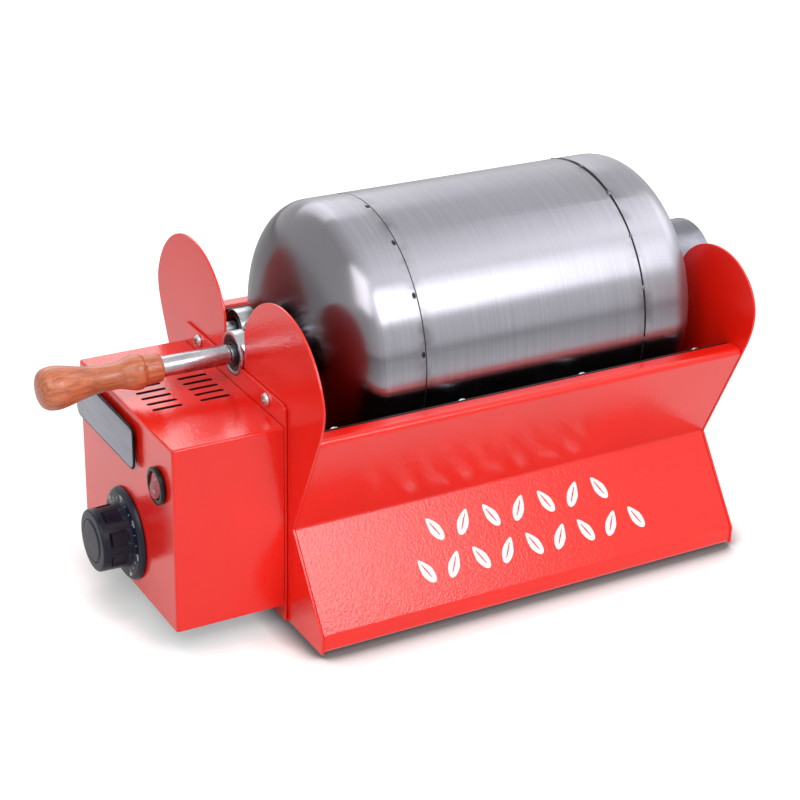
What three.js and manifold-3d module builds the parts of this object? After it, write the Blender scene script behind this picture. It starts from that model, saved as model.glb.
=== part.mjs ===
// Table-top drum roaster for nuts and grain.
//
// Lengths are in millimetres. X runs along the drum, from the wooden handle (-X) to the mouth (+X),
// -Y is the front and +Z is up. The origin is on the floor under the middle of the machine.
// Inside the model, x is counted from the outer face of the left end plate, and heights are
// counted from the bottom edge of the sheet-metal body, which stands on low rubber feet.

import * as THREE from 'three';
import { mergeVertices } from 'three/addons/utils/BufferGeometryUtils.js';
import Module from 'manifold-3d';

const wasm = await Module();
wasm.setup();

// Gaps and cutting
const fit = 0.3;
const overrun = 2;
const weldDistance = 0.0001;

// Smoothness, in steps round a full turn or along a curve
const largeSteps = 32;
const mediumSteps = 16;
const smallSteps = 8;
const screwSteps = 8;
const knuckleSteps = 4;
const outlineSteps = 8;
const bendSteps = 2;
const cornerSteps = 2;

// Overall heights and spans
const axisHeight = 140.6;
const footDrop = 2.5;
const plateSpan = 285;

// Sheet-metal body
const plateThick = 1.5;
const plateProud = 0.4;
const panelThick = 1.5;
const bendRadius = 1.5;
const baseHalf = 109.8;
const stripHeight = 10.8;
const waistHalf = 73.9;
const waistHeight = 61.7;
const lipHalf = 105.1;
const lipHeight = 128.7;
const lipWidth = 14.2;
const lipDrop = 9;
const footFlange = 12;

// Ears of the end plates: half width, half height, height of centre, and how far the notch cuts in
const leftEar = { halfWidth: 51.6, halfHeight: 52, centreHeight: 138, inset: 4.4, startAngle: 0.31 };
const rightEar = { halfWidth: 37.5, halfHeight: 32, centreHeight: 151, inset: 0, startAngle: 0.09 };
const mouthNotchRadius = 36.5;

// Base plate and feet
const baseThick = 1.5;
const baseSlotLength = 40;
const baseSlotWidth = 5;
const baseSlotRows = 3;
const baseSlotColumns = 3;
const footRadius = 10;
const footInsetX = 26;
const footInsetY = 27.8;
const footTaper = 1.2;

// Heat trough
const troughThick = 1.2;
const troughFlange = 11;
const troughShoulderHalf = 68;
const troughShoulderHeight = 66;
const troughFloorHalf = 44;
const troughFloorHeight = 36;
const troughTopGap = 1;
const troughScrewCount = 4;
const troughScrewStart = 17.8;
const troughScrewEndInset = 25.1;
const troughScrewDrop = 4.2;

// Heating elements and the brackets that hold them
const elementRadius = 3.3;
const elementHeight = 47;
const elementBendRadius = 11;
const elementCentreHalf = 25;
const elementTail = 20;
const elementEndRoom = 35;
const elementSides = 10;
const elementBendSteps = 8;
const terminalPinRadius = 1.6;
const terminalPinLength = 9;
const bracketThick = 1.2;
const bracketHalf = 42;
const bracketCorner = 4;
const bracketRise = 7;
const bracketInset = 70;

// Screws
const screwRadius = 1.5;
const panHeadRadius = 3.7;
const panHeadHeight = 2.4;

// Control box
const boxLength = 68.5;
const boxHalf = 68.1;
const boxBottom = 10.9;
const boxTop = 123.2;
const boxWall = 1.2;
const boxEdge = 1.6;
const backPlateThick = 1.5;
const backPlateTop = 135.6;
const backPlateCorner = 4;
const flangeScrewInset = 22.5;
const flangeScrewHeight = 130.6;
const flangeHeadRadius = 4;
const floorTurnUp = 8;

// Vent slots on the box top
const ventLength = 18.2;
const ventWidth = 2.8;
const ventPitch = 8;
const ventCount = 5;
const ventGroupShares = [0.708, 0.286];

// Gearmotor and pinion
const motorRadius = 25;
const motorLength = 20;
const motorShaftOffset = 10;
const motorEarHalf = 31;
const motorEarRadius = 5;
const motorFlangeThick = 1.6;
const outputShaftRadius = 4;
const outputShaftDepth = 10;
const bushWall = 2;
const bushFlangeRadius = 9;
const bushFlangeThick = 1.5;
const gearModule = 1.25;
const hubGearTeeth = 34;
const pinionTeeth = 24;
const gearBacklash = 0.35;
const pressureAngle = Math.PI / 9;
const gearStart = 25.8;
const gearWidth = 2.9;
const pinionBossRadius = 8;
const pinionBossLength = 6;

// Guide rollers beside the hub
const guideRollerRadius = 11.9;
const guideRollerLength = 10.2;
const guideRollerStart = 14.1;
const guideRollerRise = 1.4;
const guideKnurls = 18;
const guideKnurlDepth = 0.5;
const guideRecessDepth = 1.2;
const guideRecessInner = 5.4;
const guideRecessOuter = 9.4;
const guideStudRadius = 3;
const guideSpacerRadius = 5;
const guideCollarRadius = 6.5;
const guideCollarThick = 1.6;
const guideClipRadius = 4.4;
const guideClipThick = 0.8;

// Ball bearing at the back end of the drum
const bearingRadius = 13;
const bearingBoreRadius = 5.3;
const bearingWidth = 8;
const bearingProud = 1.9;
const outerRingInner = 10.9;
const innerRingOuter = 7.1;
const ballRadius = 2.4;
const ballCount = 7;
const ballSteps = 6;
const raceSteps = 3;
const raceAngle = 0.95;
const cageThick = 0.8;
const cageWidth = 2.6;
const shieldThick = 0.5;
const shieldRecess = 0.6;
const ringChamfer = 0.5;

// Drum
const drumRadius = 80;
const drumWall = 1.5;
const drumStart = 32.4;
const rearSeam = 80.4;
const frontDomeLength = 46.6;
const drumEndRoom = 9.8;
const rearKnuckleLength = 26.8;
const rearKnuckleDepth = 43.2;
const frontKnuckleLength = 24.3;
const frontKnuckleDepth = 38.5;
const neckRadius = 30.2;
const neckWall = 1.5;
const neckProud = 32.4;
const neckTail = 2.5;
const neckLip = 0.6;

// Mixing flights inside the drum
const flightCount = 3;
const flightHeight = 13;
const flightThick = 1.5;
const flightMargin = 10;
const flightTwist = 0.9;
const flightSteps = 5;

// Hub, shaft and handle
const hubTrackRadius = 16.1;
const hubTrackStart = 11;
const hubBossRadius = 12;
const hubBossTail = 4.6;
const hubChamfer = 0.8;
const shaftRadius = 8;
const shaftEnd = 40.5;
const journalRadius = 5;
const journalProud = 1.7;
const spigotRadius = 2.8;
const spigotLength = 6;
const backingRadius = 33;
const backingThick = 3;
const rodRadius = 5.9;
const rodGap = 2;
const rodEnd = 45.5;
const rodChamfer = 0.6;
const pinRadius = 4;
const pinLength = 52;
const gripLength = 72.5;
const gripRadius = 12.3;
const gripSteps = 14;

// Outline of the turned grip, from its joint with the rod to its butt: shares of length and radius
const gripOutlineShares = [
  [0, 0.6], [0.02, 0.66], [0.1, 0.69], [0.145, 0.71], [0.165, 0.8], [0.195, 0.835], [0.235, 0.81],
  [0.3, 0.69], [0.36, 0.615], [0.47, 0.61], [0.56, 0.66], [0.68, 0.8], [0.79, 0.95], [0.86, 1],
  [0.93, 0.94], [0.97, 0.76], [0.99, 0.45],
];

// Rollers that carry the drum's neck
const neckRollerRadius = 11;
const neckRollerWidth = 7;
const neckRollerBore = 4.3;
const neckRollerAngle = 0.75;
const neckRollerStand = 1.5;
const neckStudRadius = 4;
const neckThreadRadius = 3;
const studHexRadius = 6;
const studHexThick = 3.4;
const studNutThick = 2;
const rollerGrooveInner = 6.4;
const rollerGrooveOuter = 8.8;
const rollerGrooveDepth = 0.7;

// Thermostat and its knob
const knobHeight = 41.1;
const knobSkirtRadius = 27.6;
const knobSkirtThick = 3.6;
const knobSkirtRim = 1.6;
const knobSkirtRise = 1.2;
const knobRadius = 18.9;
const knobFrontRadius = 18.3;
const knobLength = 20.6;
const knobEdge = 1.4;
const knobPockets = 8;
const knobPocketShare = 0.56;
const knobPocketDepth = 1.9;
const knobPocketStart = 2.2;
const knobPocketEnd = 5.6;
const knobCapRadius = 12.6;
const knobCapThick = 1.2;
const knobCapDepth = 0.9;
const spindleRadius = 3;
const spindleReach = 14;
const thermostatHalf = 19;
const thermostatHalfHeight = 17;
const thermostatDepth = 22;
const thermostatCorner = 3;

// Rocker switch
const switchInset = 19.2;
const switchHeight = 94.4;
const switchBezelRadius = 10.8;
const switchBezelThick = 2.9;
const switchBodyRadius = 9.2;
const switchBodyDepth = 17;
const switchWindowRadius = 7.9;
const rockerRadius = 7.3;
const rockerThick = 5;
const rockerDepth = 7;
const rockerTilt = 0.12;
const rockerSink = 1.6;

// Blank plate on the front of the box
const badgeInset = 1.6;
const badgeWidth = 87;
const badgeBottom = 90;
const badgeHeight = 26.5;
const badgeThick = 1.4;
const badgeStand = 1.8;
const badgeCorner = 5;
const badgePadRadius = 3;
const badgePadHalf = 30;

// Cable gland on the back of the box
const glandInset = 12;
const glandHeight = 78;
const glandRadius = 6;
const glandHexRadius = 9.5;
const glandHexThick = 5;
const glandDomeRadius = 8;
const glandDomeLength = 9;
const glandMouthRadius = 4;
const glandMouthWall = 1;
const glandNutThick = 4;
const glandThread = 10;

// Terminal block inside the box
const terminalX = 24;
const terminalInset = 30.1;
const terminalLength = 34;
const terminalWidth = 18;
const terminalHeight = 14;
const terminalWays = 4;
const terminalHole = 2.2;

// Places worked out from the sizes above
const bearingNotch = bearingRadius + fit;
const bearingStart = -bearingProud;
const innerLeft = plateThick + fit;
const innerRight = plateSpan - plateThick - fit;
const lipInnerHalf = lipHalf - lipWidth;
const troughHalf = lipInnerHalf - fit;
const troughTop = lipHeight - troughTopGap;
const troughScrewPitch = (plateSpan - troughScrewStart - troughScrewEndInset) / (troughScrewCount - 1);
const footHalfY = baseHalf - footInsetY;
const elementReach = plateSpan - elementEndRoom;
const drumEnd = plateSpan - drumEndRoom;
const frontSeam = drumEnd - frontDomeLength;
const neckEnd = plateSpan + neckProud;
const flangeScrewHalf = boxHalf - flangeScrewInset;
const switchY = switchInset - boxHalf;
const badgeY = boxHalf - badgeInset - badgeWidth / 2;
const glandX = boxLength - glandInset;
const terminalY = boxHalf - terminalInset;
const ventGroups = ventGroupShares.map((share) => boxLength * share);
const basePlateBottom = panelThick + fit;
const backPlateFront = -(fit + backPlateThick);
const boxRear = backPlateFront - fit;
const pinionHeight = axisHeight - gearModule * (hubGearTeeth + pinionTeeth) / 2;
const outputShaftEnd = gearStart + gearWidth;
const guideRollerY = Math.sqrt((hubTrackRadius + fit + guideRollerRadius) ** 2 - guideRollerRise ** 2);
const gripStart = -(rodEnd + fit);
const gripEnd = gripStart - gripLength;
const middleX = (neckEnd + gripEnd) / 2;
const neckRollerReach = neckRadius + fit + neckRollerRadius;
const neckRollerStart = plateSpan + neckRollerStand;
const bushRadius = outputShaftRadius + fit + bushWall;
const switchFace = -boxLength - fit;

// Finishes
const finish = {
  red: new THREE.MeshStandardMaterial({ color: 0xe3170d, roughness: 0.32, metalness: 0 }),
  black: new THREE.MeshStandardMaterial({ color: 0x17171a, roughness: 0.55, metalness: 0.1 }),
  stainless: new THREE.MeshStandardMaterial({ color: 0xb9b9bd, roughness: 0.34, metalness: 1 }),
  steel: new THREE.MeshStandardMaterial({ color: 0xc4c6c9, roughness: 0.25, metalness: 1 }),
  darkSteel: new THREE.MeshStandardMaterial({ color: 0x4c4d50, roughness: 0.45, metalness: 0.9 }),
  bronze: new THREE.MeshStandardMaterial({ color: 0xa9793f, roughness: 0.4, metalness: 1 }),
  wood: new THREE.MeshStandardMaterial({ color: 0xb4552c, roughness: 0.5, metalness: 0 }),
  plastic: new THREE.MeshStandardMaterial({ color: 0x1b1b1f, roughness: 0.35, metalness: 0 }),
  rubber: new THREE.MeshStandardMaterial({ color: 0x202020, roughness: 0.85, metalness: 0 }),
  lens: new THREE.MeshStandardMaterial({ color: 0xb80f12, roughness: 0.15, metalness: 0 }),
  ceramic: new THREE.MeshStandardMaterial({ color: 0xe6e0d2, roughness: 0.5, metalness: 0 }),
  zinc: new THREE.MeshStandardMaterial({ color: 0xa7abb0, roughness: 0.4, metalness: 1 }),
};

// Merges shared corners and drops triangles that have shrunk to a line.
function welded(geometry) {
  const bare = new THREE.BufferGeometry();
  bare.setAttribute('position', geometry.getAttribute('position'));
  if (geometry.index) bare.setIndex(geometry.index);
  const merged = mergeVertices(bare, weldDistance);
  const corners = merged.index.array;
  const kept = [];
  for (let i = 0; i < corners.length; i += 3) {
    const [a, b, c] = [corners[i], corners[i + 1], corners[i + 2]];
    if (a !== b && b !== c && c !== a) kept.push(a, b, c);
  }
  merged.setIndex(kept);
  return merged;
}

function toSolid(geometry) {
  const mesh = welded(geometry);
  return new wasm.Manifold(new wasm.Mesh({
    numProp: 3,
    vertProperties: new Float32Array(mesh.getAttribute('position').array),
    triVerts: new Uint32Array(mesh.index.array),
  }));
}

function fromSolid(solid) {
  const mesh = solid.getMesh();
  const geometry = new THREE.BufferGeometry();
  geometry.setAttribute('position', new THREE.BufferAttribute(new Float32Array(mesh.vertProperties), 3));
  geometry.setIndex(new THREE.BufferAttribute(new Uint32Array(mesh.triVerts), 1));
  return geometry;
}

function cut(base, ...tools) {
  return fromSolid(tools.reduce((solid, tool) => solid.subtract(toSolid(tool)), toSolid(base)));
}

function joined(base, ...others) {
  return fromSolid(others.reduce((solid, other) => solid.add(toSolid(other)), toSolid(base)));
}

function overlap(one, other) {
  return fromSolid(toSolid(one).intersect(toSolid(other)));
}

// A mirror image across the plane y = 0, with its faces turned to point outwards again.
function mirroredY(geometry) {
  const copy = welded(geometry).scale(1, -1, 1);
  const corners = Array.from(copy.index.array);
  for (let i = 0; i < corners.length; i += 3) {
    [corners[i], corners[i + 1]] = [corners[i + 1], corners[i]];
  }
  copy.setIndex(corners);
  return copy;
}

// Lays an extrusion whose outline is drawn in (Y, Z) along X, starting at the given place.
function intoX(geometry, start) {
  const basis = new THREE.Matrix4().makeBasis(
    new THREE.Vector3(0, 1, 0),
    new THREE.Vector3(0, 0, 1),
    new THREE.Vector3(1, 0, 0),
  );
  return geometry.applyMatrix4(basis).translate(start, 0, 0);
}

// Extrudes an outline drawn in (Y, Z) along X.
function alongX(shape, from, to, steps = outlineSteps) {
  const settings = { depth: to - from, bevelEnabled: false, curveSegments: steps };
  return intoX(new THREE.ExtrudeGeometry(shape, settings), from);
}

// Extrudes an outline drawn in (X, Y) along Z.
function alongZ(shape, from, to, steps = outlineSteps) {
  const settings = { depth: to - from, bevelEnabled: false, curveSegments: steps };
  return new THREE.ExtrudeGeometry(shape, settings).translate(0, 0, from);
}

// Turns a profile of [place along the axis, radius] points round the X axis.
// A profile that doesn't start and end on the axis is closed on itself.
function turned(profile, steps) {
  const points = profile.map(([along, radius]) => new THREE.Vector2(radius, along));
  if (THREE.ShapeUtils.area(points) < 0) points.reverse();
  const onAxis = points[0].x === 0 && points[points.length - 1].x === 0;
  if (!onAxis) points.push(points[0].clone());
  return new THREE.LatheGeometry(points, steps).rotateZ(-Math.PI / 2);
}

function rod(from, to, radius, steps = smallSteps) {
  return turned([[from, 0], [from, radius], [to, radius], [to, 0]], steps);
}

function ring(from, to, inner, outer, steps = mediumSteps) {
  return turned([[from, inner], [from, outer], [to, outer], [to, inner]], steps);
}

// A rod along Y, centred on (x, z).
function rodY(x, z, from, to, radius, steps = smallSteps) {
  return rod(from, to, radius, steps).rotateZ(Math.PI / 2).translate(x, 0, z);
}

function hole(x, y, radius, steps = screwSteps) {
  return new THREE.Path(polygon(steps, radius).map((corner) => corner.add(new THREE.Vector2(x, y))));
}

function roundedRectangle(centreX, centreY, width, height, corner) {
  const [halfX, halfY] = [width / 2 - corner, height / 2 - corner];
  const shape = new THREE.Shape();
  shape.absarc(centreX + halfX, centreY - halfY, corner, -Math.PI / 2, 0);
  shape.absarc(centreX + halfX, centreY + halfY, corner, 0, Math.PI / 2);
  shape.absarc(centreX - halfX, centreY + halfY, corner, Math.PI / 2, Math.PI);
  shape.absarc(centreX - halfX, centreY - halfY, corner, Math.PI, Math.PI * 3 / 2);
  shape.closePath();
  return shape;
}

// A slot with round ends, drawn along the first axis.
function slot(centreX, centreY, length, width) {
  const radius = width / 2;
  const half = length / 2 - radius;
  const shape = new THREE.Shape();
  shape.absarc(centreX + half, centreY, radius, -Math.PI / 2, Math.PI / 2);
  shape.absarc(centreX - half, centreY, radius, Math.PI / 2, Math.PI * 3 / 2);
  shape.closePath();
  return shape;
}

function rectangle(left, right, bottom, top) {
  return new THREE.Shape([
    new THREE.Vector2(left, bottom),
    new THREE.Vector2(right, bottom),
    new THREE.Vector2(right, top),
    new THREE.Vector2(left, top),
  ]);
}

function polygon(sides, radius, turn = 0) {
  const corners = [];
  for (let i = 0; i < sides; i += 1) {
    const angle = turn + i * Math.PI * 2 / sides;
    corners.push(new THREE.Vector2(radius * Math.cos(angle), radius * Math.sin(angle)));
  }
  return corners;
}

// Section of a bent sheet. The points run along one face, and the sheet lies on their right.
function bentSheet(points, thickness) {
  const corners = points.map(([across, up]) => new THREE.Vector2(across, up));
  const face = [];
  const back = [];
  const add = (corner, normal) => {
    face.push(corner);
    back.push(corner.clone().addScaledVector(normal, thickness));
  };
  const heading = (i) => corners[i + 1].clone().sub(corners[i]).normalize();
  const rightOf = (direction) => new THREE.Vector2(direction.y, -direction.x);
  add(corners[0].clone(), rightOf(heading(0)));
  for (let i = 1; i < corners.length - 1; i += 1) {
    const [before, after] = [heading(i - 1), heading(i)];
    const turn = Math.atan2(before.cross(after), before.dot(after));
    const radius = turn < 0 ? bendRadius + thickness : bendRadius;
    const start = corners[i].clone().addScaledVector(before, -radius * Math.tan(Math.abs(turn) / 2));
    const side = turn < 0 ? 1 : -1;
    const normal = rightOf(before);
    const centre = start.clone().addScaledVector(normal, side * radius);
    for (let k = 0; k <= bendSteps; k += 1) {
      const swung = normal.clone().rotateAround(new THREE.Vector2(), turn * k / bendSteps);
      add(centre.clone().addScaledVector(swung, -side * radius), swung);
    }
  }
  add(corners[corners.length - 1].clone(), rightOf(heading(corners.length - 2)));
  return new THREE.Shape([...face, ...back.reverse()]);
}

// A pan-head screw along X. Its head's seat is at x = 0, the head points to -X, the shank to +X.
function screw(shank, headRadius = panHeadRadius, headHeight = panHeadHeight) {
  const crown = headRadius / 2;
  return turned([
    [-headHeight, 0], [-headHeight, crown], [-headHeight * 2 / 3, headRadius * 5 / 6],
    [-headHeight / 3, headRadius], [0, headRadius], [0, screwRadius], [shank, screwRadius], [shank, 0],
  ], screwSteps);
}

const machine = new THREE.Group();
machine.position.set(-middleX, 0, footDrop);

function add(group, name, geometry, material, place = [0, 0, 0]) {
  const mesh = new THREE.Mesh(welded(geometry), material);
  mesh.name = name;
  mesh.position.set(...place);
  group.add(mesh);
  return mesh;
}

function subgroup(x, y, z) {
  const group = new THREE.Group();
  group.position.set(x, y, z);
  machine.add(group);
  return group;
}

const body = subgroup(0, 0, 0);
const controlBox = subgroup(0, 0, 0);
const drum = subgroup(0, 0, axisHeight);

// End plates: a foot, a waist and two rounded ears, with a notch between the ears.

// Where the line from a to b meets the line through c in the direction d.
function meeting(a, b, c, d) {
  const along = b.clone().sub(a);
  const share = c.clone().sub(a).cross(d) / along.cross(d);
  return a.clone().addScaledVector(along, share);
}

function halfOutline(shape, ear, notch, side) {
  const foot = baseHalf + plateProud;
  const waist = new THREE.Vector2(waistHalf + plateProud, waistHeight);
  const lip = new THREE.Vector2(lipHalf + plateProud, lipHeight);
  const earY = notch + ear.halfWidth - ear.inset;
  const onEar = (angle) => new THREE.Vector2(
    earY + ear.halfWidth * Math.cos(angle),
    ear.centreHeight + ear.halfHeight * Math.sin(angle),
  );
  const start = onEar(ear.startAngle);
  const slope = new THREE.Vector2(
    -ear.halfWidth * Math.sin(ear.startAngle),
    ear.halfHeight * Math.cos(ear.startAngle),
  );
  const control = meeting(waist, lip, start, slope);
  const endAngle = Math.PI - Math.acos((ear.halfWidth - ear.inset) / ear.halfWidth);
  if (side > 0) {
    shape.moveTo(foot, 0);
    shape.lineTo(foot, stripHeight);
    shape.lineTo(waist.x, waist.y);
    shape.lineTo(lip.x, lip.y);
    shape.quadraticCurveTo(control.x, control.y, start.x, start.y);
    shape.absellipse(earY, ear.centreHeight, ear.halfWidth, ear.halfHeight, ear.startAngle, endAngle);
  } else {
    shape.absellipse(
      -earY, ear.centreHeight, ear.halfWidth, ear.halfHeight,
      Math.PI - endAngle, Math.PI - ear.startAngle,
    );
    shape.quadraticCurveTo(-control.x, control.y, -lip.x, lip.y);
    shape.lineTo(-waist.x, waist.y);
    shape.lineTo(-foot, stripHeight);
    shape.lineTo(-foot, 0);
    shape.closePath();
  }
}

function endPlateShape(ear, notch) {
  const shape = new THREE.Shape();
  halfOutline(shape, ear, notch, 1);
  shape.lineTo(notch, axisHeight);
  shape.absarc(0, axisHeight, notch, 0, -Math.PI, true);
  halfOutline(shape, ear, notch, -1);
  return shape;
}

const elementLegs = [-1, 1].flatMap((side) => [-1, 1].map(
  (leg) => side * elementCentreHalf + leg * elementBendRadius,
));

function elementHoles() {
  return elementLegs.map((y) => hole(y, elementHeight, elementRadius + fit, elementSides));
}

function leftEndPlate() {
  const shape = endPlateShape(leftEar, bearingNotch);
  shape.holes.push(...elementHoles());
  shape.holes.push(hole(0, pinionHeight, bushRadius + fit, mediumSteps));
  for (const side of [-1, 1]) {
    shape.holes.push(hole(side * flangeScrewHalf, flangeScrewHeight, screwRadius + fit));
  }
  return alongX(shape, 0, plateThick);
}

function neckRollerPlace(side) {
  return [
    side * neckRollerReach * Math.sin(neckRollerAngle),
    axisHeight - neckRollerReach * Math.cos(neckRollerAngle),
  ];
}

function rightEndPlate() {
  const shape = endPlateShape(rightEar, mouthNotchRadius);
  for (const side of [-1, 1]) {
    const [y, height] = neckRollerPlace(side);
    shape.holes.push(hole(y, height, neckThreadRadius + fit, smallSteps));
  }
  return alongX(shape, plateSpan - plateThick, plateSpan);
}

// Front and back panels, one bent sheet each.

const troughScrewPlaces = Array.from(
  { length: troughScrewCount },
  (_, i) => troughScrewStart + i * troughScrewPitch,
);
const troughScrewHeight = lipHeight - troughScrewDrop;

function screwHolesAcross(from, to) {
  return troughScrewPlaces.map((x) => rodY(x, troughScrewHeight, from, to, screwRadius + fit, screwSteps));
}

function frontPanel() {
  const section = bentSheet([
    [-(baseHalf - footFlange), 0],
    [-baseHalf, 0],
    [-baseHalf, stripHeight],
    [-waistHalf, waistHeight],
    [-lipHalf, lipHeight],
    [-lipInnerHalf, lipHeight],
    [-lipInnerHalf, lipHeight - lipDrop],
  ], panelThick);
  const sheet = alongX(section, innerLeft, innerRight);
  return cut(sheet, ...screwHolesAcross(-(lipInnerHalf + panelThick + overrun), -(lipInnerHalf - overrun)));
}

// Base plate with breathing slots, and its feet.

const footPlaces = [
  ['foot_front_left', footInsetX, -footHalfY],
  ['foot_back_left', footInsetX, footHalfY],
  ['foot_front_right', plateSpan - footInsetX, -footHalfY],
  ['foot_back_right', plateSpan - footInsetX, footHalfY],
];

function basePlate() {
  const half = baseHalf - panelThick - bendRadius - fit;
  const shape = rectangle(innerLeft, innerRight, -half, half);
  const [stepX, stepY] = [plateSpan / (baseSlotColumns + 1), half / baseSlotRows];
  for (let column = 1; column <= baseSlotColumns; column += 1) {
    for (let row = 0; row < baseSlotRows; row += 1) {
      const y = (row - (baseSlotRows - 1) / 2) * stepY;
      shape.holes.push(slot(column * stepX, y, baseSlotLength, baseSlotWidth));
    }
  }
  for (const [, x, y] of footPlaces) shape.holes.push(hole(x, y, screwRadius + fit));
  return alongZ(shape, basePlateBottom, basePlateBottom + baseThick, cornerSteps);
}

function foot() {
  const bottom = -footDrop;
  const top = basePlateBottom - fit;
  const side = [[bottom, 0], [bottom, footRadius - footTaper], [top, footRadius], [top, screwRadius + fit]];
  const screwDepth = [[bottom + footTaper, screwRadius + fit], [bottom + footTaper, 0]];
  return turned([...side, ...screwDepth], smallSteps).rotateY(-Math.PI / 2);
}

// Heat trough under the drum: a black sheet that hangs on the lips of both panels.

function heatTrough() {
  const half = troughHalf;
  const shoulder = troughTop - troughFlange;
  const section = bentSheet([
    [half, troughTop],
    [half, shoulder],
    [troughShoulderHalf, troughShoulderHeight],
    [troughFloorHalf, troughFloorHeight],
    [-troughFloorHalf, troughFloorHeight],
    [-troughShoulderHalf, troughShoulderHeight],
    [-half, shoulder],
    [-half, troughTop],
  ], troughThick);
  const sheet = alongX(section, innerLeft + fit, innerRight - fit);
  return cut(
    sheet,
    ...screwHolesAcross(-(half + overrun), -(half - troughThick - overrun)),
    ...screwHolesAcross(half - troughThick - overrun, half + overrun),
  );
}

// Heating elements: two hairpin tubes that run under the drum and end inside the control box.

class Hairpin extends THREE.Curve {
  // t counts the steps: one along each leg, and the others round the bend.
  getPoint(t, target = new THREE.Vector3()) {
    const step = t * (elementBendSteps + 2) - 1;
    const turn = Math.min(Math.max(step / elementBendSteps, 0), 1) * Math.PI - Math.PI / 2;
    const leg = Math.max(-step, step - elementBendSteps, 0);
    const x = elementReach - leg * (elementReach + elementTail) + elementBendRadius * Math.cos(turn);
    return target.set(x, elementBendRadius * Math.sin(turn), 0);
  }

  getUtoTmapping(u) {
    return u;
  }
}

function heatingElement() {
  const section = new THREE.Shape(polygon(elementSides, elementRadius));
  const steps = elementBendSteps + 2;
  const tube = new THREE.ExtrudeGeometry(section, { steps, bevelEnabled: false, extrudePath: new Hairpin() });
  const pins = [-1, 1].map((side) => rod(
    -(elementTail + terminalPinLength), -(elementTail - overrun), terminalPinRadius, screwSteps,
  ).translate(0, side * elementBendRadius, 0));
  return joined(tube, ...pins);
}

function elementBracket() {
  const bottom = troughFloorHeight + troughThick + fit;
  const top = elementHeight + bracketRise;
  const shape = new THREE.Shape([
    new THREE.Vector2(-(bracketHalf - bracketCorner), bottom),
    new THREE.Vector2(bracketHalf - bracketCorner, bottom),
    new THREE.Vector2(bracketHalf, bottom + bracketCorner),
    new THREE.Vector2(bracketHalf, top),
    new THREE.Vector2(-bracketHalf, top),
    new THREE.Vector2(-bracketHalf, bottom + bracketCorner),
  ]);
  shape.holes.push(...elementHoles());
  return alongX(shape, -bracketThick / 2, bracketThick / 2);
}

add(body, 'left_end_plate', leftEndPlate(), finish.red);
add(body, 'right_end_plate', rightEndPlate(), finish.red);
add(body, 'front_panel', frontPanel(), finish.red);
add(body, 'back_panel', mirroredY(frontPanel()), finish.red);
add(body, 'base_plate', basePlate(), finish.zinc);
for (const [name, x, y] of footPlaces) add(body, name, foot(), finish.rubber, [x, y, 0]);
add(body, 'heat_trough', heatTrough(), finish.black);
for (const [name, side] of [['front', -1], ['back', 1]]) {
  const place = [0, side * elementCentreHalf, elementHeight];
  add(body, `heating_element_${name}`, heatingElement(), finish.darkSteel, place);
}
add(body, 'element_bracket_left', elementBracket(), finish.zinc, [bracketInset, 0, 0]);
add(body, 'element_bracket_right', elementBracket(), finish.zinc, [plateSpan - bracketInset, 0, 0]);

// Control box: back plate, five-sided cover and floor.

const motorScrewHeight = pinionHeight - motorShaftOffset;

function boxBackPlate() {
  const shape = new THREE.Shape();
  shape.moveTo(-boxHalf, 0);
  shape.lineTo(boxHalf, 0);
  shape.lineTo(boxHalf, backPlateTop - backPlateCorner);
  const [cornerY, cornerHeight] = [boxHalf - backPlateCorner, backPlateTop - backPlateCorner];
  shape.absarc(cornerY, cornerHeight, backPlateCorner, 0, Math.PI / 2);
  shape.absarc(-cornerY, cornerHeight, backPlateCorner, Math.PI / 2, Math.PI);
  shape.closePath();
  shape.holes.push(...elementHoles());
  shape.holes.push(hole(0, pinionHeight, bushRadius + fit, mediumSteps));
  for (const side of [-1, 1]) {
    shape.holes.push(hole(side * flangeScrewHalf, flangeScrewHeight, screwRadius + fit));
    shape.holes.push(hole(side * motorEarHalf, motorScrewHeight, screwRadius + fit));
  }
  const sheet = alongX(shape, backPlateFront, -fit, cornerSteps);
  const bearingRoom = rod(backPlateFront - overrun, overrun, bearingNotch, mediumSteps);
  return cut(sheet, bearingRoom.translate(0, 0, axisHeight));
}

function flangeScrew() {
  return screw(backPlateThick + plateThick + fit * 2, flangeHeadRadius);
}

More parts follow.
